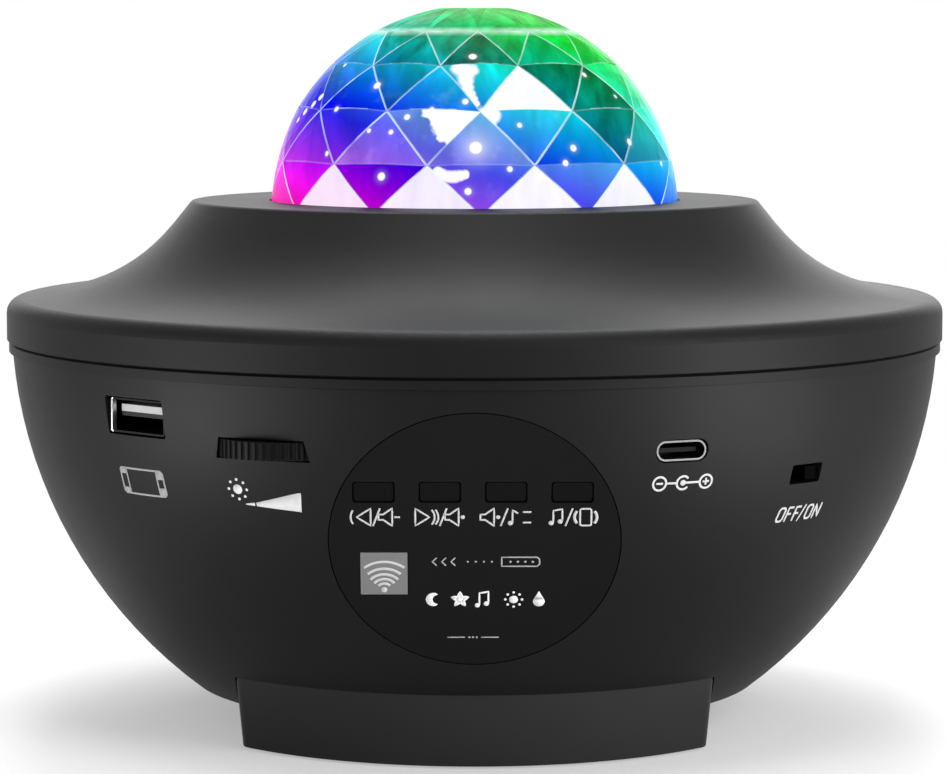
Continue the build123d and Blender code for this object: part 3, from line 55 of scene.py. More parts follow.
camera_data = bpy.data.cameras.new("camera")
camera_data.lens = camera_data.sensor_width * focal_pixels / picture_width
camera_data.clip_start = 0.01


def new_object(name, data):
    """A new object in the scene."""
    thing = bpy.data.objects.new(name, data)
    bpy.context.scene.collection.objects.link(thing)
    return thing


camera = new_object("camera", camera_data)
camera.location = camera_place
camera.rotation_mode = "QUATERNION"
camera.rotation_quaternion = (camera_target - camera_place).to_track_quat("-Z", "Y")
bpy.context.scene.camera = camera
bpy.context.scene.view_settings.view_transform = "Standard"


def new_mesh(name, vertices, faces):
    """A new mesh object at the origin."""
    mesh = bpy.data.meshes.new(name)
    mesh.from_pydata([tuple(v) for v in vertices], [], faces)
    mesh.validate()
    return new_object(name, mesh)


class Wire:
    """A socket in a node tree. Arithmetic on it adds Math nodes, and add() adds any other node."""

    def __init__(self, tree, socket=None):
        self.tree = tree
        self.socket = socket

    def add(self, kind, settings, inputs, output=0):
        """Adds a node: its settings first, then the values or links of its inputs."""
        node = self.tree.nodes.new(kind)
        for name, value in settings.items():
            setattr(node, name, value)
        for name, value in inputs.items():
            if isinstance(value, Wire):
                self.tree.links.new(value.socket, node.inputs[name])
            else:
                node.inputs[name].default_value = value
        return Wire(self.tree, node.outputs[output] if node.outputs else None)

    def math(self, operation, first, second=0.0, clamp=False):
        settings = {"operation": operation, "use_clamp": clamp}
        return self.add("ShaderNodeMath", settings, {0: first, 1: second})

    def __add__(self, other):
        return self.math("ADD", self, other)

    __radd__ = __add__

    def __mul__(self, other):
        return self.math("MULTIPLY", self, other)

    __rmul__ = __mul__

    def __sub__(self, other):
        return self.math("SUBTRACT", self, other)

    def __rsub__(self, other):
        return self.math("SUBTRACT", other, self)

    def __truediv__(self, other):
        return self.math("DIVIDE", self, other)

    def __pow__(self, other):
        return self.math("POWER", self, other)

    def apply(self, operation, second=0.0):
        """Any other Math node, with this value first."""
        return self.math(operation, self, second)

    def clamped(self):
        """The same value kept between 0 and 1."""
        return self.math("ADD", self, 0.0, clamp=True)

    def step(self, start, end):
        """0 where this value is at the start, 1 where it is at the end, and even in between."""
        return ((self - start) / (end - start)).clamped()

    def vector(self, operation, second=(0, 0, 0), output=0):
        """A Vector Math node, with this vector first."""
        settings = {"operation": operation}
        return self.add("ShaderNodeVectorMath", settings, {0: self, 1: second}, output)

    def scaled(self, factor):
        """This vector times a value."""
        settings = {"operation": "SCALE"}
        return self.add("ShaderNodeVectorMath", settings, {0: self, "Scale": factor})

    def part(self, axis):
        """One coordinate of a vector: 0, 1 or 2."""
        return self.add("ShaderNodeSeparateXYZ", {}, {0: self}, axis)

    def blend(self, first, second):
        """A colour between two others, with this value as the share of the second."""
        settings = {"data_type": "RGBA"}
        return self.add("ShaderNodeMix", settings, {0: self, 6: first, 7: second}, 2)

    def place(self):
        """Object coordinates."""
        return self.add("ShaderNodeTexCoord", {}, {}, "Object")

    def noise(self, size, detail=2.0, place=None):
        """Soft noise about 0.5, with lumps of a size in metres."""
        inputs = {"Vector": place or self.place(), "Scale": 1 / size, "Detail": detail}
        return self.add("ShaderNodeTexNoise", {}, inputs)

    def bump(self, height, strength, distance):
        """A normal from a height between 0 and 1."""
        inputs = {"Strength": strength, "Distance": distance, "Height": height}
        return self.add("ShaderNodeBump", {}, inputs)


def new_material(name):
    """An empty material and the wrapper that fills its tree."""
    material = bpy.data.materials.new(name)
    material.use_nodes = True
    material.node_tree.nodes.clear()
    return material, Wire(material.node_tree)


def end_material(shade, surface):
    """Joins a shader to the material's output."""
    shade.add("ShaderNodeOutputMaterial", {}, {"Surface": surface})


def seen_directly(shade):
    """1 for rays from the camera, a mirror or glass, and 0 for the light that falls on things."""
    ray_kinds = ("Is Camera Ray", "Is Glossy Ray", "Is Transmission Ray")
    rays = [shade.add("ShaderNodeLightPath", {}, {}, kind) for kind in ray_kinds]
    return (rays[0] + rays[1] + rays[2]).clamped()


floor = new_mesh(
    "floor",
    [(x * floor_size, y * floor_size, 0) for x, y in ((-1, -1), (1, -1), (1, 1), (-1, 1))],
    [(0, 1, 2, 3)],
)
floor_material, shade = new_material("pale_floor")
floor_tone = shade.noise(0.4).blend((0.93, 0.93, 0.93, 1), (0.95, 0.95, 0.95, 1))
floor_matt = shade.add("ShaderNodeBsdfDiffuse", {}, {"Color": floor_tone})
floor_glow = shade.add("ShaderNodeEmission", {}, {"Color": (1, 1, 1, 1), "Strength": 1.0})
# The shadow shows in the matt share, which is largest under the lamp and gone a quarter of a metre out.
floor_reach = shade.place().vector("LENGTH", output="Value")
floor_share = seen_directly(shade) * ((floor_reach - 0.10) * 3.0 + 0.55).clamped()
end_material(shade, shade.add("ShaderNodeMixShader", {}, {0: floor_share, 1: floor_matt, 2: floor_glow}))
floor.data.materials.append(floor_material)

world = bpy.data.worlds.new("world")
world.use_nodes = True
world.node_tree.nodes.clear()
shade = Wire(world.node_tree)
backdrop = seen_directly(shade).blend((0.35, 0.35, 0.35, 1), (1, 1, 1, 1))
wall = shade.add("ShaderNodeBackground", {}, {"Color": backdrop, "Strength": 1.0})
shade.add("ShaderNodeOutputWorld", {}, {"Surface": wall})
bpy.context.scene.world = world


def towards(azimuth, elevation):
    """A direction for angles in degrees: azimuth from the front to the right, elevation upwards."""
    a, e = radians(azimuth), radians(elevation)
    return Vector((cos(e) * sin(a), -cos(e) * cos(a), sin(e)))


def area_lamp(name, size, power, place):
    """A square lamp that faces down."""
    lamp_data = bpy.data.lights.new(name, "AREA")
    lamp_data.size = size
    lamp_data.energy = power
    lamp = new_object(name, lamp_data)
    lamp.location = place
    return lamp


# Each soft box: azimuth, elevation, size and power.
soft_boxes = {
    "top_box": (0, 75, 0.35, 4.0),
    "front_box": (38, 30, 0.35, 2.3),
    "right_box": (54, 3, 0.30, 4.8),
    "high_back_box": (180, 70, 0.40, 7.0),
    "low_back_box": (180, 38, 0.40, 2.9),
    "left_back_box": (-160, 12, 0.30, 0.55),
    "right_back_box": (160, 12, 0.30, 1.0),
}
lamp_distance = 0.95
lamp_aim = Vector((0, 0, 0.06))
for lamp_name, (azimuth, elevation, lamp_size, lamp_power) in soft_boxes.items():
    lamp_place = lamp_aim + towards(azimuth, elevation) * lamp_distance
    lamp = area_lamp(lamp_name, lamp_size, lamp_power, lamp_place)
    lamp.rotation_mode = "QUATERNION"
    lamp.rotation_quaternion = (lamp_aim - lamp_place).to_track_quat("-Z", "Y")

# Two strips lie on the table beside the lamp and only put a sheen on the sides of its bowl.
for side, strip_power in ((-1, 1.6), (1, 1.3)):
    strip = area_lamp("table_strip", 0.15, strip_power, (side * 0.225, -0.150, 0.003))
    strip.rotation_euler = (pi, 0, 0)
    strip.visible_camera = False
    strip.visible_diffuse = False


# ---- Foot: moulded base with two flats, sound slots and a grille ---------------------------------
# A shallow tray of black ABS, injection moulded with a fine satin grain. Four screws hold it to the
# bowl, and the sound of the speaker leaves through the holes in its floor and the slots in its flats.
def dress(material, *nodes):
    """Gives CAD nodes a material."""
    for node in nodes:
        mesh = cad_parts[node].data
        mesh.materials.clear()
        mesh.materials.append(material)


def end_principled(shade, inputs):
    """Ends a material in one principled shader."""
    end_material(shade, shade.add("ShaderNodeBsdfPrincipled", {}, inputs))


def moulded_plastic(name, dark, light, roughness, grain=0.35, bump=0.06, specular=0.5):
    """Injection-moulded plastic: a satin grain, faint flow marks and a slightly uneven gloss."""
    material, shade = new_material(name)
    flow = shade.noise(22 * mm, 3.0)
    fine = shade.noise(grain * mm, 2.0)
    inputs = {
        "Base Color": flow.blend((*dark, 1), (*light, 1)),
        "Roughness": roughness + (flow - 0.5) * 0.10 + (fine - 0.5) * 0.08,
        "Specular IOR Level": specular,
        "Normal": shade.bump(fine, bump, 0.05 * mm),
    }
    end_principled(shade, inputs)
    return material


# The foot is painted lighter than the bowl's ABS: a painted reflection of the pale table in front.
foot_plastic_with_painted_reflection = moulded_plastic(
    "foot_plastic_with_painted_reflection", (0.017, 0.017, 0.018), (0.023, 0.023, 0.024), 0.5, specular=0.14
)
dress(foot_plastic_with_painted_reflection, "foot_base")

# ---- Rubber pads ---------------------------------------------------------------------------------
# Four punched discs of black rubber, glued into round seats under the foot.
rubber = moulded_plastic("pad_rubber", (0.02, 0.02, 0.02), (0.035, 0.034, 0.033), 0.85, 0.8, 0.2, 0.3)
dress(rubber, "rubber_feet")

# ---- Bowl ----------------------------------------------------------------------------------------
# The lower half of the case, moulded in the same black ABS as the foot, with a flat round pocket for
# the key panel and moulded openings for the two sockets, the dial and the switch.
case_plastic = moulded_plastic(
    "case_plastic", (0.004, 0.004, 0.0042), (0.006, 0.006, 0.0063), 0.53, specular=0.11
)
dress(case_plastic, "lower_shell")

# ---- Speaker -------------------------------------------------------------------------------------
# A small full-range driver that fires down through the foot: pressed steel basket, ferrite magnet
# between plated plates, pressed paper cone on a rubber surround, woven spider and copper coil.
def worn_metal(name, dark, light, roughness, brush=1.0):
    """Metal with fine brushing across X and cloudy changes of gloss."""
    material, shade = new_material(name)
    stretch = shade.add("ShaderNodeMapping", {}, {"Vector": shade.place(), "Scale": (brush, 1.0, 1.0)})
    lines = shade.noise(1.2 * mm, 3.0, stretch)
    cloud = shade.noise(9 * mm, 2.0)
    inputs = {
        "Base Color": cloud.blend((*dark, 1), (*light, 1)),
        "Metallic": 1.0,
        "Roughness": roughness + (lines - 0.5) * 0.16,
        "Normal": shade.bump(lines, 0.08, 0.05 * mm),
    }
    end_principled(shade, inputs)
    return material


def woven_or_pressed(name, dark, light, grain, strength):
    """Fibrous sheet, such as cone paper or treated cloth: matt, with a felted grain."""
    material, shade = new_material(name)
    fibres = shade.noise(grain * mm, 5.0)
    inputs = {
        "Base Color": fibres.blend((*dark, 1), (*light, 1)),
        "Roughness": 0.8 + (fibres - 0.5) * 0.2,
        "Normal": shade.bump(fibres, strength, 0.2 * mm),
    }
    end_principled(shade, inputs)
    return material


dress(worn_metal("pressed_steel", (0.42, 0.42, 0.43), (0.55, 0.55, 0.56), 0.35, 4.0), "speaker_frame")
dress(worn_metal("plated_yoke", (0.50, 0.50, 0.52), (0.62, 0.62, 0.63), 0.28), "speaker_yoke")
ferrite = woven_or_pressed("ferrite", (0.035, 0.035, 0.037), (0.06, 0.06, 0.062), 0.6, 0.3)
dress(ferrite, "speaker_magnet")
cone_paper = woven_or_pressed("cone_paper", (0.035, 0.034, 0.033), (0.07, 0.068, 0.065), 0.9, 0.5)
dress(cone_paper, "speaker_cone")
spider_cloth = woven_or_pressed("spider_cloth", (0.30, 0.17, 0.06), (0.42, 0.26, 0.10), 0.5, 0.7)
dress(spider_cloth, "speaker_spider")
dress(rubber, "speaker_surround")
copper_wire = worn_metal("copper_wire", (0.62, 0.25, 0.12), (0.80, 0.38, 0.20), 0.3, 0.2)
dress(copper_wire, "voice_coil")

# ---- Boards --------------------------------------------------------------------------------------
# The main board and the key board are glass fibre with a green lacquer over copper tracks. Chips and
# plugs are moulded resin, and the capacitors are rolled in aluminium cans.
def circuit_board(name, lacquer, track):
    """Lacquered board: straight copper tracks show through the lacquer as lighter, raised lines."""
    material, shade = new_material(name)
    settings = {"feature": "DISTANCE_TO_EDGE", "distance": "CHEBYCHEV"}
    cells = shade.add("ShaderNodeTexVoronoi", settings, {"Vector": shade.place(), "Scale": 1 / (4 * mm)})
    tracks = (1 - cells * 9.0).clamped()
    weave = shade.noise(0.5 * mm, 2.0)
    inputs = {
        "Base Color": (tracks * 0.7 + weave * 0.2).clamped().blend((*lacquer, 1), (*track, 1)),
        "Roughness": 0.32 + (weave - 0.5) * 0.15,
        "Normal": shade.bump(tracks, 0.25, 0.05 * mm),
    }
    end_principled(shade, inputs)
    return material


green_board = circuit_board("green_lacquer", (0.005, 0.060, 0.022), (0.02, 0.16, 0.06))
dress(green_board, "main_board", "button_board")
chip_resin = moulded_plastic("chip_resin", (0.014, 0.014, 0.015), (0.022, 0.022, 0.024), 0.5, 0.2, 0.1)
dress(chip_resin, "board_chips")
dress(worn_metal("capacitor_can", (0.65, 0.65, 0.66), (0.78, 0.78, 0.79), 0.25, 0.3), "board_capacitors")
plug_nylon = moulded_plastic("plug_nylon", (0.62, 0.60, 0.54), (0.72, 0.70, 0.65), 0.4)
dress(plug_nylon, "board_connectors")

# ---- Sockets -------------------------------------------------------------------------------------
# Folded stainless shells around nylon tongues with gilded contacts: a large one on the left for a
# memory stick or to charge a phone, and a small rounded one on the right for power.
def grey(level):
    """A neutral colour."""
    return (level, level, level)


# The small socket's stainless steel is painted dark grey, as painted shade inside its opening.
dress(worn_metal("socket_steel", grey(0.06), (0.09, 0.09, 0.092), 0.34, 3.0), "usb_c_shell")
tongue_nylon = moulded_plastic("tongue_nylon", grey(0.004), grey(0.007), 0.5, specular=0.06)
dress(tongue_nylon, "usb_c_insert")

# The large socket's steel is painted near black as painted shade inside its opening, but for a strip at
# the left of its mouth, which is painted light grey as a painted highlight. Its tongue is white at the top
# and painted black below as painted shade deep in the socket.
usb_a_azimuth = -42.9
usb_a_highlight_side = -6.0 * mm
usb_a_highlight_reach = 80.4 * mm
usb_a_tongue_split = 60.1 * mm
usb_a_tongue_end = 4.9 * mm
usb_a_out = towards(usb_a_azimuth, 0)
usb_a_across = towards(usb_a_azimuth + 90, 0)
paint_edge = 0.125 * mm
tongue_edge = 0.05 * mm

steel_painted_shade_and_highlight, shade = new_material("steel_painted_shade_and_highlight")
scratches = shade.noise(1.5 * mm, 3.0)
across = shade.place().vector("DOT_PRODUCT", tuple(usb_a_across), "Value")
reach = shade.place().vector("DOT_PRODUCT", tuple(usb_a_out), "Value")
# The light strip at the left of the mouth is a painted highlight; the rest of the shell is painted shade.
at_side = across.step(usb_a_highlight_side, usb_a_highlight_side - paint_edge)
painted_highlight = at_side * reach.step(usb_a_highlight_reach, usb_a_highlight_reach + paint_edge)
inputs = {
    "Base Color": painted_highlight.blend((0.012, 0.012, 0.012, 1), (0.80, 0.80, 0.80, 1)),
    "Metallic": 1.0,
    "Roughness": 0.38 + (scratches - 0.5) * 0.2,
    "Normal": shade.bump(scratches, 0.05, 0.05 * mm),
}
end_principled(shade, inputs)
dress(steel_painted_shade_and_highlight, "usb_a_shell")

tongue_with_painted_shade, shade = new_material("tongue_with_painted_shade")
grain = shade.noise(0.6 * mm, 2.0)
# The tongue is white above a height and within a width; the rest is painted black, painted shade.
above = shade.place().part(2).step(usb_a_tongue_split, usb_a_tongue_split + tongue_edge)
across = shade.place().vector("DOT_PRODUCT", tuple(usb_a_across), "Value")
white = above * across.step(usb_a_tongue_end, usb_a_tongue_end - paint_edge) * (0.95 + grain * 0.1)
inputs = {
    "Base Color": white.clamped().blend((0.006, 0.006, 0.006, 1), (0.84, 0.84, 0.83, 1)),
    "Roughness": 0.42 + (grain - 0.5) * 0.1,
    "Specular IOR Level": 0.2,
    "Normal": shade.bump(grain, 0.06, 0.05 * mm),
}
end_principled(shade, inputs)
dress(tongue_with_painted_shade, "usb_a_insert")
dress(worn_metal("gilded_contact", (0.75, 0.52, 0.20), (0.90, 0.66, 0.30), 0.2), "usb_a_contacts")

# ---- Power switch and dial -----------------------------------------------------------------------
# A slide switch soldered under the board, and a ridged thumbwheel on a small potentiometer. Only the
# wheel's edge and the end of the slide stand in their openings.
# The switch plastic is painted near pure black with almost no gloss: painted shade for the slide's opening.
switch_plastic = moulded_plastic("switch_plastic", grey(0.001), grey(0.0016), 0.7, specular=0.01)
dress(switch_plastic, "power_switch_body", "power_switch_slider", "dial_potentiometer")
dial_plastic = moulded_plastic("dial_plastic", grey(0.003), grey(0.005), 0.45, specular=0.07)
dress(dial_plastic, "brightness_dial", "dial_spindle")

# ---- Key panel -----------------------------------------------------------------------------------
# A flat disc of smoother black plastic, glued into the bowl's pocket, with four thin keys and a
# smoked window in front of the remote receiver. Key switches and receiver stand on the key board.
panel_plastic = moulded_plastic(
    "panel_plastic", (0.004, 0.004, 0.0041), (0.0055, 0.0055, 0.0057), 0.5, 0.3, 0.04, 0.08
)
dress(panel_plastic, "control_panel")
key_plastic = moulded_plastic("key_plastic", grey(0.0025), grey(0.004), 0.45, specular=0.06)
dress(key_plastic, "button_1", "button_2", "button_3", "button_4")
smoked = moulded_plastic("smoked_window", (0.15, 0.15, 0.152), (0.21, 0.21, 0.212), 0.4, 0.5, 0.05, 0.2)
dress(smoked, "ir_window")
dress(tongue_nylon, "tact_switches")
dress(moulded_plastic("dark_epoxy", (0.02, 0.008, 0.02), (0.04, 0.015, 0.035), 0.15), "ir_receiver")
grey_ribbon = moulded_plastic("grey_ribbon", (0.35, 0.35, 0.36), (0.45, 0.45, 0.46), 0.5, 1.2, 0.3)
dress(grey_ribbon, "button_ribbon")

# ---- Lamp ----------------------------------------------------------------------------------------
# Four coloured lamps on an aluminium-backed board over a finned heat sink, with a moulded lens over
# each of them.
dress(worn_metal("finned_aluminium", (0.55, 0.55, 0.56), (0.70, 0.70, 0.71), 0.35, 2.0), "heat_sink")
white_board = circuit_board("white_lacquer", (0.70, 0.70, 0.68), (0.80, 0.80, 0.79))
dress(white_board, "led_board")
dress(moulded_plastic("lamp_resin", (0.75, 0.62, 0.10), (0.85, 0.72, 0.20), 0.25), "led_emitters")
holder_plastic = moulded_plastic("lens_holder_plastic", grey(0.012), grey(0.02), 0.6)
dress(holder_plastic, "lens_holder")


def clear_plastic(name, tint, roughness):
    """Clear acrylic: light goes through it, and faint flow lines in the moulding bend it."""
    material, shade = new_material(name)
    flow = shade.noise(6 * mm, 2.0)
    inputs = {
        "Base Color": flow.blend((*tint, 1), (1, 1, 1, 1)),
        "Roughness": roughness + flow * 0.03,
        "Transmission Weight": 1.0,
        "IOR": 1.49,
        "Normal": shade.bump(flow, 0.05, 0.2 * mm),
    }
    end_principled(shade, inputs)
    return material


clear_acrylic = clear_plastic("clear_acrylic", (0.93, 0.96, 0.98), 0.03)
dress(clear_acrylic, "led_lenses", "ripple_disc", "grating_film")

# ---- Star laser and drive ------------------------------------------------------------------------
# A brass laser module in a moulded holder shines through the grating wheel. A geared motor turns the
# ripple disc by a pinion, and the disc's rim turns the grating wheel the other way.
dress(worn_metal("laser_brass", (0.66, 0.45, 0.18), (0.78, 0.56, 0.26), 0.28, 0.3), "laser_module")
frame_plastic = moulded_plastic("frame_plastic", grey(0.014), grey(0.022), 0.55)
dress(frame_plastic, "laser_holder", "optics_frame")
gear_nylon = moulded_plastic("gear_nylon", (0.72, 0.71, 0.68), (0.80, 0.79, 0.77), 0.42)
dress(gear_nylon, "disc_gear", "grating_gear", "drive_pinion")
motor_steel = worn_metal("motor_steel", (0.55, 0.55, 0.56), (0.68, 0.68, 0.69), 0.28, 0.3)
dress(motor_steel, "gear_motor", "motor_shaft", "disc_axle")

# ---- Leads and screws ----------------------------------------------------------------------------
# Sleeved pairs run from the lamp, laser, motor and speaker to plugs on the main board. The screws are
# zinc-plated steel with pan heads.
sleeve = moulded_plastic("lead_sleeve", grey(0.015), grey(0.03), 0.5, 0.6, 0.15)
dress(sleeve, "led_lead", "laser_lead", "motor_lead", "speaker_lead")
screw_steel = worn_metal("screw_steel", (0.50, 0.50, 0.52), (0.66, 0.66, 0.67), 0.3, 2.0)
dress(screw_steel, "case_screws", "small_screws", "light_engine_screws")

# ---- Flared cover --------------------------------------------------------------------------------
# The upper half of the case: a black ABS shell that flares from the flat ring around the dome out to
# a banded rim. A fine groove and a lip part it from the bowl.
dress(case_plastic, "upper_cover")

# ---- Dome ----------------------------------------------------------------------------------------
# One thick moulding of clear acrylic with triangular facets, lit from below by the coloured lamps.
# Each facet bends the light its own way, so that it glows in one colour, and the polished ridges
# between the facets shine white. A collar and a flange hold it under the cover's ring.
dome_radius = 36.7 * mm
dome_sides = 12
dome_turn = 1.8
dome_ring_latitudes = (0.9, 14.3, 29.8, 45.2, 60.5, 80.0)
dome_wall = 3.4 * mm
dome_ridge_fall = 0.1 * mm
rings = [
    (dome_radius * cos(radians(latitude)), 0, dome_radius * sin(radians(latitude)))
    for latitude in dome_ring_latitudes
]
dome_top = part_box("dome_cover")[1].z
dome_centre = Vector((0, 0, dome_top - rings[-1][2]))
dome_base_height = 92.4 * mm


def new_tree(name, sizes):
    """A geometry tree with named inputs, and a wire from each of them."""
    tree = bpy.data.node_groups.new(name, "GeometryNodeTree")
    for way in ("OUTPUT", "INPUT"):
        tree.interface.new_socket("Geometry", in_out=way, socket_type="NodeSocketGeometry")
    for label, kind in sizes.items():
        tree.interface.new_socket(label, in_out="INPUT", socket_type="NodeSocket" + kind)
    sockets = tree.nodes.new("NodeGroupInput").outputs
    return tree, {socket.name: Wire(tree, socket) for socket in sockets if socket.name}


def end_tree(geometry, material):
    """Ends a geometry tree in plain, dressed geometry."""
    geometry = geometry.add("GeometryNodeRealizeInstances", {}, {"Geometry": geometry})
    geometry = geometry.add("GeometryNodeSetMaterial", {}, {"Geometry": geometry, "Material": material})
    geometry.add("NodeGroupOutput", {}, {0: geometry})


def stored(geometry, label, value, domain="FACE", data_type="FLOAT"):
    """The same geometry with a named value kept on each face or point."""
    settings = {"data_type": data_type, "domain": domain}
    inputs = {"Geometry": geometry, "Name": label, "Value": value}
    return geometry.add("GeometryNodeStoreNamedAttribute", settings, inputs)


def joined(first, second):
    """Two geometries as one."""
    both = first.add("GeometryNodeJoinGeometry", {}, {"Geometry": first})
    first.tree.links.new(second.socket, both.socket.node.inputs["Geometry"])
    return both


def grow(name, tree, start, values):
    """Runs a geometry tree on a mesh or a curve, and makes an object of the plain mesh that it gives."""
    carrier = new_object(name + "_start", start)
    modifier = carrier.modifiers.new("tree", "NODES")
    modifier.node_group = tree
    for socket in tree.interface.items_tree:
        if socket.in_out == "INPUT" and socket.name in values:
            modifier[socket.identifier] = values[socket.name]
    bpy.context.view_layer.update()
    evaluated = carrier.evaluated_get(bpy.context.evaluated_depsgraph_get())
    mesh = bpy.data.meshes.new_from_object(evaluated)
    bpy.data.objects.remove(carrier)
    mesh.name = name
    turner = bmesh.new()
    turner.from_mesh(mesh)
    bmesh.ops.recalc_face_normals(turner, faces=turner.faces)
    turner.to_mesh(mesh)
    turner.free()
    return new_object(name, mesh)


# The tree rolls a flat grid up into rings of corners, with every other ring half a step on.
facet_tree, size = new_tree("facet_dome", {
    "Sides": "Int", "Levels": "Int", "Radius": "Float", "Turn": "Float", "Wall": "Float", "Inset": "Float",
    "Bulge": "Float", "Chamfer": "Float", "Top": "Float", "Centre": "Vector", "Material": "Material",
})
sides = size["Sides"]
grid_inputs = {"Vertices X": sides + 1, "Vertices Y": size["Levels"] + 2}
grid = sides.add("GeometryNodeMeshGrid", {}, {"Size X": 1.0, "Size Y": 1.0, **grid_inputs})
place = grid.add("GeometryNodeInputPosition", {}, {})
column = (place.part(0) + 0.5) * sides
row = ((place.part(1) + 0.5) * (size["Levels"] + 1)).apply("ROUND")
ring = size["Geometry"].add(
    "GeometryNodeSampleIndex", {"data_type": "FLOAT_VECTOR"},
    {"Geometry": size["Geometry"], "Value": place, "Index": row},
)
azimuth = size["Turn"] + (column + row.apply("MODULO", 2.0) * 0.5) * (2 * pi) / sides
x = ring.part(0) * azimuth.apply("SINE")
y = ring.part(0) * azimuth.apply("COSINE") * -1
corner = x.add("ShaderNodeCombineXYZ", {}, {0: x, 1: y, 2: ring.part(2)})
facets = grid.add("GeometryNodeSetPosition", {}, {"Geometry": grid, "Position": corner})
facets = facets.add("GeometryNodeTriangulate", {"quad_method": "SHORTEST_DIAGONAL"}, {"Mesh": facets})
facets = facets.add("GeometryNodeMergeByDistance", {}, {"Geometry": facets, "Distance": 0.01 * mm})
facets = stored(facets, "facet", place, data_type="FLOAT_VECTOR")

# Each facet of the sides gets an inner face and a narrow rim. The points then move out towards a ball,
# the rims a little less, and the flat top stays.
on_side = (place.part(2) + 0.05 * mm).apply("LESS_THAN", size["Top"])
inset_inputs = {"Mesh": facets, "Selection": on_side, "Offset Scale": 0.0, "Individual": True}
inset = facets.add("GeometryNodeExtrudeMesh", {}, inset_inputs)
node_outputs = inset.socket.node.outputs
inner_face = Wire(facet_tree, node_outputs["Top"])
rim_face = Wire(facet_tree, node_outputs["Side"])
scale_inputs = {"Geometry": inset, "Selection": inner_face, "Scale": size["Inset"]}
inset = inset.add("GeometryNodeScaleElements", {}, scale_inputs)
inset = stored(inset, "rim", rim_face)
inset = stored(inset, "ridge", 1 - inner_face, "POINT")
fine = inset.add("GeometryNodeSubdivideMesh", {}, {"Mesh": inset, "Level": 2})
reach = place.vector("LENGTH", output="Value")
ridge = fine.add("GeometryNodeInputNamedAttribute", {"data_type": "FLOAT"}, {"Name": "ridge"})
rounding = (size["Radius"] / reach - 1) * size["Bulge"] + 1
chamfer = ridge * size["Chamfer"] / reach
rounded = place.scaled(rounding - chamfer)
capped_height = rounded.part(2).apply("MINIMUM", size["Top"])
capped = rounded.add("ShaderNodeCombineXYZ", {}, {0: rounded.part(0), 1: rounded.part(1), 2: capped_height})
outer = fine.add("GeometryNodeSetPosition", {}, {"Geometry": fine, "Position": capped})

# The inside of the shell is the outside made smaller.
shell = outer.add("GeometryNodeExtrudeMesh", {}, {"Mesh": outer, "Offset Scale": 0.0, "Individual": False})
inner_side = Wire(facet_tree, shell.socket.node.outputs["Top"])
inner_place = place.scaled(1 - size["Wall"] / size["Radius"])
shrink_inputs = {"Geometry": shell, "Selection": inner_side, "Position": inner_place}
shell = shell.add("GeometryNodeSetPosition", {}, shrink_inputs)
closed = joined(shell, outer)
closed = closed.add("GeometryNodeMergeByDistance", {}, {"Geometry": closed, "Distance": 0.001 * mm})
placed = closed.add("GeometryNodeTransform", {}, {"Geometry": closed, "Translation": size["Centre"]})
end_tree(placed, size["Material"])

lit_acrylic, shade = new_material("lit_acrylic")
profile = bpy.data.meshes.new("dome_rings")
profile.from_pydata([*rings, (0, 0, rings[-1][2])], [], [])
dome = grow("dome_facets", facet_tree, profile, {
    "Sides": dome_sides, "Levels": len(rings) - 1, "Radius": dome_radius, "Turn": radians(dome_turn),
    "Wall": dome_wall, "Inset": 0.955, "Bulge": 0.85, "Chamfer": dome_ridge_fall,
    "Top": dome_top - dome_centre.z, "Centre": tuple(dome_centre), "Material": lit_acrylic,
})

# How each facet glows: pale where it shows the white lamp itself, dark where it looks past the lamps,
# deep in colour, or with white patches. A facet is named by the way it points, its level and its
# column. The pattern of the front comes again at the back.
pale_facets = {
    ("up", 2, 0): 0.90, ("up", 0, 0): 0.92, ("up", 0, 1): 0.88, ("up", 0, 11): 0.86, ("up", 0, 10): 0.80,
}
patched_facets = {("down", 2, 0), ("down", 1, 0), ("down", 0, 0), ("up", 2, 9), ("down", 1, 9)}
cut_facet = ("down", 1, 11)
dark_facets = {
    ("up", 3, 11): 0.44, ("down", 2, 1): 0.46, ("up", 2, 1): 0.50, ("down", 1, 1): 0.52,
    ("down", 3, 11): 0.60, ("up", 3, 10): 0.62, ("down", 3, 10): 0.66, ("up", 1, 1): 0.70,
    ("up", 3, 0): 0.74, ("down", 2, 11): 0.76, ("down", 3, 0): 0.74, ("down", 0, 11): 0.84,
    ("up", 1, 0): 0.86, ("up", 3, 1): 0.78, ("down", 3, 1): 0.80,
}
deep_facets = {
    ("down", 0, 11): 0.98, ("up", 2, 10): 0.96, ("down", 2, 11): 0.90, ("up", 1, 0): 0.93,
    ("down", 0, 10): 0.92, ("down", 1, 10): 0.82, ("up", 1, 10): 0.60, ("up", 1, 11): 0.55,
    ("down", 1, 11): 0.58, ("down", 0, 0): 0.68, ("down", 0, 1): 0.68, ("down", 0, 2): 0.92,
    ("up", 3, 11): 0.97, ("down", 2, 1): 0.98, ("up", 2, 1): 0.98, ("down", 1, 1): 0.96,
    ("down", 3, 11): 0.95, ("up", 3, 10): 0.95, ("up", 3, 0): 0.95, ("down", 3, 0): 0.97,
    ("up", 3, 1): 0.98, ("down", 3, 1): 0.98, ("down", 3, 10): 0.92,
}
crown_level = 4
crown_shade = 0.76
crown_depth = 0.95
ring_ridge_width = 0.35 * mm
pattern_turn = 4
hidden_columns = range(3, 9)
chance = random.Random(5)
facet_cast = {}
ring_heights = [ring[2] for ring in rings]
dome_mesh = dome.data
half_step = 180 / dome_sides
looks = {"pale": [], "shade": [], "depth": [], "edge": [], "cast": [], "patched": [], "cut": []}
centres = [Vector(item.vector) for item in dome_mesh.attributes["facet"].data]
rims = [item.value for item in dome_mesh.attributes["rim"].data]
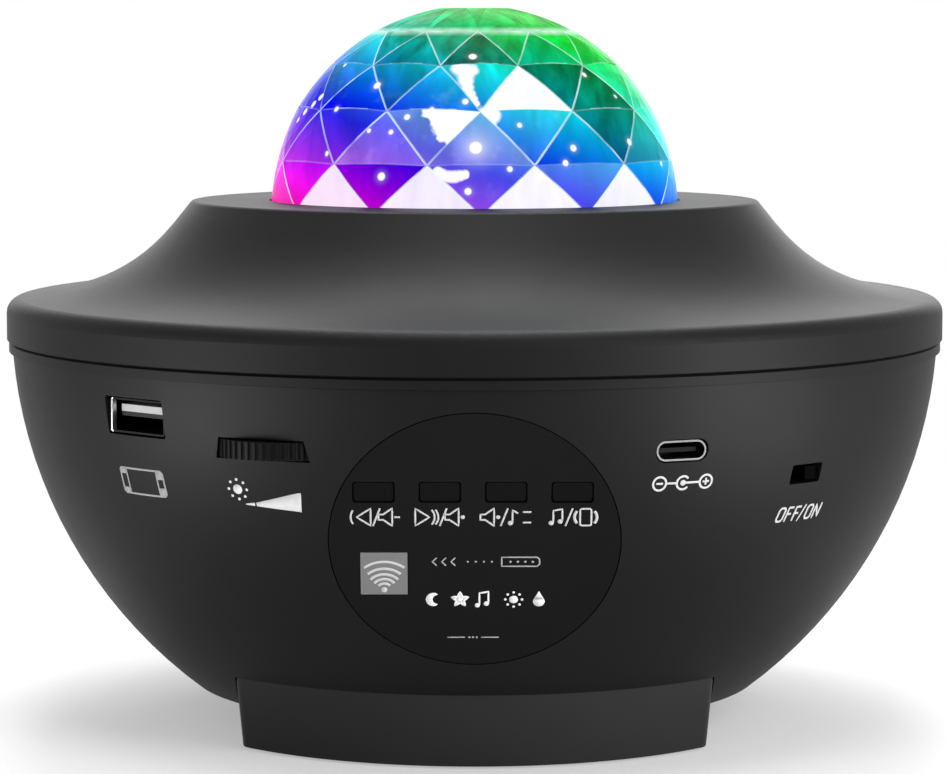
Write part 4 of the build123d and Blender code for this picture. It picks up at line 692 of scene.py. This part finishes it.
for polygon in dome_mesh.polygons:
    centre = centres[polygon.index]
    level = sum(centre.z > height for height in ring_heights) - 1
    kind = "cap"
    if level < len(ring_heights) - 1:
        rise = (centre.z - ring_heights[level]) / (ring_heights[level + 1] - ring_heights[level])
        kind = "up" if rise < 0.5 else "down"
    turned = degrees(atan2(centre.x, -centre.y)) - dome_turn - level % 2 * half_step
    column = round(turned / (2 * half_step) - 0.5 * (kind == "up")) % dome_sides
    cast = facet_cast.setdefault((kind, level, column), chance.uniform(-1, 1))
    facet = (kind, level, (column - pattern_turn) % dome_sides if column in hidden_columns else column)
    in_crown = level >= crown_level
    middle = polygon.center - dome_centre
    beside_ring = min(abs(middle.z - height) for height in ring_heights) < ring_ridge_width
    height_share = max(centre.z, 0) / dome_radius
    plain_shade = crown_shade if in_crown else 0.97 - 0.16 * height_share + 0.03 * cast
    plain_depth = crown_depth if in_crown else 0.76 + 0.18 * height_share + 0.04 * cast
    looks["edge"].append(rims[polygon.index] * (0.2 if beside_ring or in_crown else 1.0))
    looks["cast"].append(cast)
    looks["pale"].append(pale_facets.get(facet, 0.0))
    looks["patched"].append(float(facet in patched_facets))
    looks["cut"].append(float(facet == cut_facet))
    looks["shade"].append(dark_facets.get(facet, plain_shade))
    looks["depth"].append(deep_facets.get(facet, plain_depth))
for look, values in looks.items():
    dome_mesh.attributes.new(look, "FLOAT", "FACE")
    dome_mesh.attributes[look].data.foreach_set("value", values)

# The hue goes from pink at the lower left by violet and blue to green at the top. Streaks and glints
# shift from facet to facet, and are stronger higher up.
hue_at_base = 0.755
hue_fall_across = 4.02
hue_fall_up = 10.9
place = shade.place()
facet_look = {
    look: shade.add("ShaderNodeAttribute", {"attribute_name": look}, {}, "Fac") for look in looks
}
cast = facet_look["cast"]
facet_offset = shade.add("ShaderNodeCombineXYZ", {}, {0: cast * 0.7, 1: cast * 0.4, 2: cast * 0.9})
bent_place = place.vector("ADD", facet_offset)
stretch_inputs = {"Vector": bent_place, "Rotation": (0.4, 0.6, 0), "Scale": (1.9, 1.0, 0.55)}
stretched = shade.add("ShaderNodeMapping", {}, stretch_inputs)
streak_inputs = {"Vector": stretched, "Scale": 1 / (8 * mm), "Detail": 4.0, "Distortion": 0.7}
streaks = shade.add("ShaderNodeTexNoise", {}, streak_inputs)
glints = shade.noise(3.5 * mm, 3.0, bent_place)
height = place.part(2) - dome_base_height
unrest = (height * 22 + 0.12).clamped()
plain_hue = hue_at_base - place.part(0) * hue_fall_across - height * hue_fall_up
hue = plain_hue + cast * 0.012 + (streaks - 0.5) * 0.08 * unrest
value = (facet_look["shade"] + (streaks - 0.5) * 1.1 * unrest).clamped()
saturation = (facet_look["depth"] - (glints - 0.58).clamped() * 1.6 * unrest).clamped()
colour = shade.add("ShaderNodeCombineColor", {"mode": "HSV"}, {0: hue, 1: saturation, 2: value})
colour = shade.add("ShaderNodeGamma", {}, {"Color": colour, "Gamma": 2.2})
direction = place.vector("SUBTRACT", tuple(dome_centre)).vector("NORMALIZE")


def glow_points(points, unit, softness=0.0):
    """The distance to the nearest of some points, as a share of its radius.

    A point is its azimuth, latitude and radius, and the unit of radius is a share of the dome's.
    """
    everywhere = list(points)
    for turn in (pattern_turn, 2 * pattern_turn):
        turned = [((azimuth + turn * 360 / dome_sides) % 360, *rest) for azimuth, *rest in points]
        everywhere += [point for point in turned if 90 < point[0] < 270]
    nearest = None
    for azimuth, latitude, radius in everywhere:
        gap = direction.vector("DISTANCE", tuple(towards(azimuth, latitude)), "Value")
        gap = gap * (1 / (radius * unit))
        settings = {"operation": "SMOOTH_MIN" if softness else "MINIMUM"}
        if nearest is None:
            nearest = gap
        else:
            nearest = gap.add("ShaderNodeMath", settings, {0: nearest, 1: gap, 2: softness})
    return nearest


# White patches with ragged edges, and one facet that is white beyond a slanting cut.
white_patches = (
    (-5.0, 44.0, 5.2), (-1.5, 43.5, 4.6), (-3.2, 41.5, 4.4), (-2.8, 39.5, 3.8), (-2.2, 37.5, 3.2),
    (-1.4, 35.6, 2.8), (-0.6, 33.8, 2.3), (0.3, 32.2, 2.0), (3.0, 29.0, 4.6), (6.0, 29.0, 4.0),
    (4.4, 26.8, 3.4), (-10.3, 12.8, 2.2), (-8.8, 12.0, 2.8), (-7.2, 11.5, 3.1), (-5.6, 11.4, 3.1),
    (-4.0, 11.7, 2.8), (-2.6, 12.0, 2.2), (-63.1, 33.9, 2.1), (-65.9, 31.6, 2.1), (-70.3, 29.3, 2.0),
    (-73.4, 26.6, 1.8),
)
patch_edge = glow_points(white_patches, 0.01, 0.5) + (glints - 0.5) * 1.1
patches = ((1.1 - patch_edge) * 2.6).clamped() * facet_look["patched"] * 0.95
cut_line = towards(-18.0, 30.0).cross(towards(-9.0, 20.0)).normalized()
past_cut = direction.vector("DOT_PRODUCT", tuple(cut_line), "Value") + (glints - 0.5) * 0.16
patches = patches + (past_cut * 60.0).clamped() * facet_look["cut"]
white_share = (facet_look["pale"] * (0.80 + streaks * 0.4) + patches).clamped()
colour = white_share.blend(colour, (0.95, 0.93, 0.99, 1))

# The ridges are pale where a streak crosses them, and a greenish band runs round below the crown.
dome_band_height = dome_centre.z + rings[-2][2] - dome_base_height
dome_band_half_width = 0.8 * mm
ridge_share = facet_look["edge"] * (streaks * 2.2 - 0.45).clamped() * 0.8
colour = ridge_share.blend(colour, (0.75, 0.93, 1.0, 1))
band = 1 - ((height - dome_band_height) / dome_band_half_width).apply("ABSOLUTE")
band_share = (band.clamped() * (glints * 1.6 - 0.1)).clamped()
colour = band_share.blend(colour, (0.72, 1.0, 0.85, 1))

# Small images of the lamps: each a white point in a soft halo, and one of them in a wide glow.
light_points = (
    (-0.8, 48.9, 1.4), (-35.9, 38.1, 1.4), (0.3, 19.4, 2.0), (-26.5, 11.3, 1.4), (-1.8, 7.5, 1.2),
    (29.4, 19.1, 1.2), (26.2, 15.0, 1.1), (13.5, 25.8, 0.9), (-33.0, 24.0, 0.8), (-25.4, 23.7, 0.9),
    (-49.7, 30.3, 1.0), (-63.0, 45.4, 0.8), (44.4, 41.8, 1.0), (54.6, 34.3, 0.7), (51.8, 20.4, 1.2),
    (68.3, 13.8, 0.9), (9.7, 13.5, 1.0), (-47.2, 17.2, 0.9), (-3.0, 33.0, 1.1), (-21.1, 28.2, 1.1),
    (-13.5, 30.6, 0.9),
)
nearest = glow_points(light_points, 0.0125)
big_glow = (1 - glow_points(((0.3, 19.4, 1.0),), 0.15)).clamped() ** 2
shine = ((1.3 - nearest) * 2).clamped() + (1 - nearest / 3.5).clamped() ** 3 * 0.35 + big_glow * 0.55
colour = shine.clamped().blend(colour, (1, 1, 1, 1))
inputs = {
    "Base Color": (white_share * 0.1 + 0.03).blend((0, 0, 0, 1), colour),
    "Roughness": 0.22 + glints * 0.10,
    "Specular IOR Level": 0.005,
    "Emission Color": colour,
    "Emission Strength": 0.97,
    "Normal": shade.bump(streaks, 0.10, 0.4 * mm),
}
end_principled(shade, inputs)
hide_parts("dome_cover")
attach(dome, "case")

# Under the facets the moulding goes on as a plain collar with a flange, clamped below the cover's ring:
# reach and height in millimetres.
flange_profile = ((33.3, 88.6), (40.7, 88.6), (40.7, 90.2), (36.7, 90.2), (36.7, 92.4), (33.3, 92.4))
flange_steps = 120
corners, flange_faces = [], []
for step in range(flange_steps):
    turn = 2 * pi * step / flange_steps
    for reach, z in flange_profile:
        corners.append((reach * sin(turn) * mm, -reach * cos(turn) * mm, z * mm))
stride = len(flange_profile)
for step in range(flange_steps):
    for side in range(stride):
        this, above = step * stride + side, step * stride + (side + 1) % stride
        after = [(corner_index + stride) % len(corners) for corner_index in (this, above)]
        flange_faces.append((this, after[0], after[1], above))
flange = new_mesh("dome_flange", corners, flange_faces)
flange.data.materials.append(clear_acrylic)
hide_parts("dome_cover")
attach(flange, "case")

# ---- Printed marks -------------------------------------------------------------------------------
# White pad printing, a few hundredths of a millimetre thick: symbols under the keys and the sockets,
# and arcs on the receiver's window. Each stroke is a ribbon laid on the panel or wrapped on the bowl.
ink_thickness = 0.04 * mm
bowl_radius = 83.2 * mm
bowl_centre = Vector((0, 0, 72.0)) * mm
panel_tilt = radians(22.9)
panel_pocket_radius = 23.65 * mm
panel_normal = Vector((0, -cos(panel_tilt), -sin(panel_tilt)))
panel_middle = bowl_centre + panel_normal * sqrt(bowl_radius**2 - panel_pocket_radius**2)
panel_up = Vector((0, -sin(panel_tilt), cos(panel_tilt)))

mark_tree, size = new_tree("printed_mark", {
    "Thickness": "Float", "Origin": "Vector", "Across": "Vector", "Up": "Vector", "Out": "Vector",
    "Ball Centre": "Vector", "Ball Radius": "Float", "Cuts": "Int", "Material": "Material",
})
stroke_inputs = {"Curve": size["Geometry"], "Cuts": size["Cuts"]}
strokes = size["Geometry"].add("GeometryNodeSubdivideCurve", {}, stroke_inputs)
strokes = strokes.add("GeometryNodeSetCurveNormal", {"mode": "Z_UP"}, {"Curve": strokes})
nib = strokes.add("GeometryNodeCurvePrimitiveLine", {}, {"Start": (-1, 0, 0), "End": (1, 0, 0)})
radius = strokes.add("GeometryNodeInputRadius", {}, {})
ribbon_inputs = {"Curve": strokes, "Profile Curve": nib, "Scale": radius}
ribbon = strokes.add("GeometryNodeCurveToMesh", {}, ribbon_inputs)
lift = size["Thickness"].add("ShaderNodeCombineXYZ", {}, {2: size["Thickness"]})
lift_inputs = {"Mesh": ribbon, "Offset": lift, "Offset Scale": 1.0, "Individual": False}
upper = ribbon.add("GeometryNodeExtrudeMesh", {}, lift_inputs)
ink = joined(upper, ribbon)
ink = ink.add("GeometryNodeMergeByDistance", {}, {"Geometry": ink, "Distance": 0.0005 * mm})

# The flat ink is laid on a plane through the mark's origin, and from there on the ball if there is one.
place = ink.add("GeometryNodeInputPosition", {}, {})
on_plane = size["Origin"].vector("ADD", size["Across"].scaled(place.part(0)))
on_plane = on_plane.vector("ADD", size["Up"].scaled(place.part(1)))
flat_place = on_plane.vector("ADD", size["Out"].scaled(place.part(2)))
ray = on_plane.vector("SUBTRACT", size["Ball Centre"]).vector("NORMALIZE")
ball_place = size["Ball Centre"].vector("ADD", ray.scaled(size["Ball Radius"] + place.part(2)))
wrapped = size["Ball Radius"].apply("GREATER_THAN", 0.0)
final_inputs = {"Switch": wrapped, "False": flat_place, "True": ball_place}
final_place = place.add("GeometryNodeSwitch", {"input_type": "VECTOR"}, final_inputs)
laid = ink.add("GeometryNodeSetPosition", {}, {"Geometry": ink, "Position": final_place})
end_tree(laid, size["Material"])


def white_ink(name, tone, strength=0.0):
    """Pad-printing ink: matt, slightly uneven in cover. Any strength adds a faint glow, painted light."""
    material, shade = new_material(name)
    cover = shade.noise(0.5 * mm, 3.0)
    inputs = {
        "Base Color": cover.blend((tone * 0.85, tone * 0.85, tone * 0.86, 1), (tone, tone, tone, 1)),
        "Roughness": 0.5 + cover * 0.2,
        "Specular IOR Level": 0.1,
        "Emission Color": (1, 1, 1, 1),
        "Emission Strength": strength,
    }
    end_principled(shade, inputs)
    return material


def line(points, width=0.30, closed=False):
    """A stroke through some points, of one width or of one for each point."""
    widths = width if isinstance(width, (list, tuple)) else [width] * len(points)
    return points, widths, closed


def arc(x, y, radius, start, end, width=0.30, steps=10):
    """Part of a ring; angles in degrees, counted from +X."""
    angles = [radians(start + (end - start) * i / steps) for i in range(steps + 1)]
    return line([(x + radius * cos(a), y + radius * sin(a)) for a in angles], width)


def dot(x, y, radius):
    """A filled round spot."""
    shares = [-0.995, -0.9, -0.7, -0.4, 0.0, 0.4, 0.7, 0.9, 0.995]
    points = [(x + radius * share, y) for share in shares]
    return line(points, [2 * radius * sqrt(1 - share**2) for share in shares])


def eight_dots(reach, radius):
    """Spots around a middle."""
    turns = [radians(45 * i) for i in range(8)]
    return [dot(reach * cos(turn), reach * sin(turn), radius) for turn in turns]


def moved(strokes, dx, dy=0.0, lean=0.0):
    """The same strokes shifted, and leaning to the right."""
    return [
        ([(x + dx + lean * y, y + dy) for x, y in points], widths, closed)
        for points, widths, closed in strokes
    ]


def print_mark(name, strokes, ink_material, placing, cuts=3):
    """Makes a mark of strokes given in millimetres, and lays it on the case."""
    curve = bpy.data.curves.new(name, "CURVE")
    curve.dimensions = "3D"
    for points, widths, closed in strokes:
        spline = curve.splines.new("POLY")
        spline.points.add(len(points) - 1)
        spline.use_cyclic_u = closed
        for point, (x, y), width in zip(spline.points, points, widths):
            point.co = (x * mm, y * mm, 0, 1)
            point.radius = width / 2 * mm
    mark = grow(name, mark_tree, curve, {
        "Thickness": ink_thickness, "Cuts": cuts, "Material": ink_material, **placing,
    })
    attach(mark, "case")


def on_bowl(azimuth, height):
    """The placing of a mark on the bowl, by its azimuth in degrees and its height in millimetres."""
    angle = radians(azimuth)
    reach = sqrt(bowl_radius**2 - (height * mm - bowl_centre.z) ** 2)
    origin = Vector((reach * sin(angle), -reach * cos(angle), height * mm))
    out = (origin - bowl_centre).normalized()
    across = Vector((cos(angle), sin(angle), 0))
    return {
        "Origin": tuple(origin), "Across": tuple(across), "Up": tuple(out.cross(across)), "Out": tuple(out),
        "Ball Centre": tuple(bowl_centre), "Ball Radius": bowl_radius,
    }


on_panel = {
    "Origin": tuple(panel_middle), "Across": (1.0, 0.0, 0.0), "Up": tuple(panel_up),
    "Out": tuple(panel_normal), "Ball Centre": (0.0, 0.0, 0.0), "Ball Radius": 0.0,
}

# Signs under the keys: back, next, mute and phone, all points in millimetres.
speaker = line([(0, 0.5), (0.75, 0.5), (2.2, 1.65), (2.2, -1.65), (0.75, -0.5), (0, -0.5)], closed=True)
slash = line([(0, -1.65), (1.15, 1.65)])
note = [line([(0.45, -1.0), (0.45, 1.3), (1.35, 0.7)]), dot(0.12, -1.1, 0.42)]
two_notes = [
    line([(0.45, -1.0), (0.45, 1.2), (1.9, 1.5), (1.9, -0.7)]),
    dot(0.12, -1.1, 0.42), dot(1.57, -0.8, 0.42),
]
back_sign = [
    arc(-1.4, 0, 2.4, 148, 212), line([(-2.85, 0), (-0.6, 1.6), (-0.6, -1.6)], closed=True),
    *moved([slash], -0.25), *moved([speaker], 0.65), line([(3.15, 0), (4.1, 0)]),
]
next_sign = [
    line([(-4.0, 1.6), (-1.75, 0), (-4.0, -1.6)], closed=True),
    arc(-3.1, 0, 2.2, -38, 38), arc(-2.5, 0, 2.2, -38, 38),
    *moved([slash], -0.1), *moved([speaker], 0.75), dot(3.6, 0, 0.35),
]
mute_sign = [
    *moved([speaker], -4.25), dot(-1.4, 0, 0.35), *moved([slash], -1.0), *moved(note, 0.45),
    line([(2.55, 0.95), (3.9, 0.95)]), line([(2.55, -1.0), (3.9, -1.0)]),
]
phone_body = [
    (1.05, 1.35), (1.3, 1.55), (2.6, 1.55), (2.85, 1.35), (2.85, -1.35), (2.6, -1.55), (1.3, -1.55),
    (1.05, -1.35),
]
phone_sign = [
    *moved(two_notes, -3.7), *moved([slash], -1.3), line(phone_body, closed=True),
    arc(1.9, 0, 1.75, 140, 220, 0.45), arc(2.0, 0, 1.75, -40, 40, 0.45),
]
key_signs = []
for sign, x in ((back_sign, -16.09), (next_sign, -5.54), (mute_sign, 5.14), (phone_sign, 15.82)):
    key_signs += moved(sign, x, 4.53)
print_mark("key_signs", key_signs, white_ink("sign_ink", 0.62), on_panel)

# Small pictures of what the remote can choose, with a hint above them and dashes below.
star = [
    (1.35 * share * cos(radians(90 + 36 * i)), 1.35 * share * sin(radians(90 + 36 * i)))
    for i, share in enumerate((1, 0.42) * 5)
]
moon_widths = [0.1, 0.5, 0.75, 0.95, 1.05, 1.1, 1.05, 0.95, 0.75, 0.5, 0.1]
pictures = [
    *moved([arc(0, 0, 1.0, 70, 290, moon_widths)], -7.6),
    *moved([line(star, 0.45, True), dot(0, 0, 0.6)], -3.6),
    *moved(two_notes, -0.9),
    *moved([dot(0, 0, 0.72), *eight_dots(1.35, 0.22)], 5.1),
    *moved([dot(0, -0.35, 0.95), line([(0, 1.6), (0, 0.9), (0, 0.0)], [0.05, 0.75, 1.75])], 9.2),
]
# The pictures' ink glows faintly: painted light.
print_mark("panel_pictures", moved(pictures, 1.2, -11.0), white_ink("glowing_bright_ink", 0.9, 0.05), on_panel)

remote_hint = []
for i in range(3):
    remote_hint.append(line([(-6.9 + 1.5 * i, 0.75), (-7.6 + 1.5 * i, 0), (-6.9 + 1.5 * i, -0.75)], 0.22))
remote_hint += [dot(-1.9 + 1.3 * i, 0, 0.17) for i in range(4)]
remote_outline = [(3.6, 0.85), (9.3, 0.85), (9.7, 0.45), (9.7, -0.45), (9.3, -0.85), (3.6, -0.85)]
remote_hint.append(line(remote_outline, 0.24, True))
remote_hint += [dot(5.0 + 1.2 * i, 0, 0.2) for i in range(4)]
dashes = [
    line([(-4.2, 0), (-1.3, 0)], 0.2), dot(-0.6, 0, 0.18), dot(0, 0, 0.18), dot(0.6, 0, 0.18),
    line([(1.3, 0), (4.2, 0)], 0.2),
]
panel_hints = [*moved(remote_hint, 0.75, -3.83), *moved(dashes, -0.29, -18.26)]
print_mark("panel_hints", panel_hints, white_ink("thin_ink", 0.42), on_panel)

window_arcs = [
    arc(0, 0, radius, 90 - spread, 90 + spread, 0.46)
    for radius, spread in ((1.2, 50), (2.05, 53), (2.95, 49), (4.0, 42), (5.3, 38))
]
window_sign = moved([dot(0, 0, 0.5), *window_arcs], -14.66, -9.15)
print_mark("window_arcs", window_sign, white_ink("grey_ink", 0.62), on_panel)

# Signs on the bowl: a phone by the charging socket, a sun and a wedge by the dial, and the polarity of
# the power socket.
phone_edge = [
    (-5.2, 1.9), (-4.8, 2.25), (4.7, 2.25), (5.2, 1.8), (5.2, -1.8), (4.7, -2.25), (-4.8, -2.25),
    (-5.2, -1.9),
]
phone_outline = [
    line(phone_edge, 0.34, True),
    line([(-3.6, 2.2), (-3.6, -2.2)], 0.3), line([(3.7, 2.2), (3.7, -2.2)], 0.3),
    line([(4.5, 2.2), (4.5, 0.75)], 1.3), line([(4.5, -0.75), (4.5, -2.2)], 1.3),
    line([(-4.4, 2.2), (-4.4, 1.2)], 1.2), line([(-4.4, -1.2), (-4.4, -2.2)], 1.2),
]
# The charging sign is printed in a greyer tone than the other signs.
print_mark("charging_sign", phone_outline, white_ink("grey_charging_ink", 0.5), on_bowl(-43.3, 48.6))
sun = [dot(0, 0, 0.85), *eight_dots(1.7, 0.25)]
wedge = [
    line([(1.1, -2.55), (2.4, -2.5), (2.8, -2.5)], [0.15, 0.5, 0.55]),
    line([(3.1, -2.5), (10.9, -1.95), (11.3, -2.0)], [0.6, 3.3, 3.4]),
]
# The dimmer sign's ink glows faintly: painted light.
print_mark("dimmer_sign", [*sun, *wedge], white_ink("glowing_dimmer_ink", 0.88, 0.05), on_bowl(-28.6, 49.0), 6)
polarity = [
    *[arc(x, 0, 1.15, 0, 360, 0.36, steps=20) for x in (-4.2, 4.2)], line([(-4.8, 0), (-3.6, 0)], 0.36),
    line([(3.6, 0), (4.8, 0)], 0.36), line([(4.2, 0.6), (4.2, -0.6)], 0.36), dot(0, 0, 0.5),
    arc(0, 0, 1.15, 40, 320, 0.36), line([(-3.0, 0), (-1.15, 0)], 0.36), line([(0.3, 0), (3.0, 0)], 0.36),
]
print_mark("power_sign", polarity, white_ink("power_ink", 0.66), on_bowl(24.6, 50.4))

# The words for off and on, in slanted capitals.
round_letter = [
    (0.3, 1.2), (1.1, 1.2), (1.4, 0.8), (1.4, -0.8), (1.1, -1.2), (0.3, -1.2), (0, -0.8), (0, 0.8),
]
letter_o = line(round_letter, 0.38, True)
letter_f = [line([(0, -1.35), (0, 1.2), (1.15, 1.2)], 0.38), line([(0, 0.05), (0.95, 0.05)], 0.38)]
letter_n = line([(0, -1.35), (0, 1.2), (1.35, -1.2), (1.35, 1.35)], 0.38)
switch_words = [
    letter_o, *moved(letter_f, 2.1), *moved(letter_f, 3.9), line([(5.3, -1.5), (6.1, 1.5)], 0.3),
    *moved([letter_o], 6.9), *moved([letter_n], 9.0),
]
switch_sign = moved(switch_words, -5.2, 0, 0.22)
print_mark("switch_sign", switch_sign, white_ink("switch_ink", 0.6), on_bowl(43.5, 43.3))
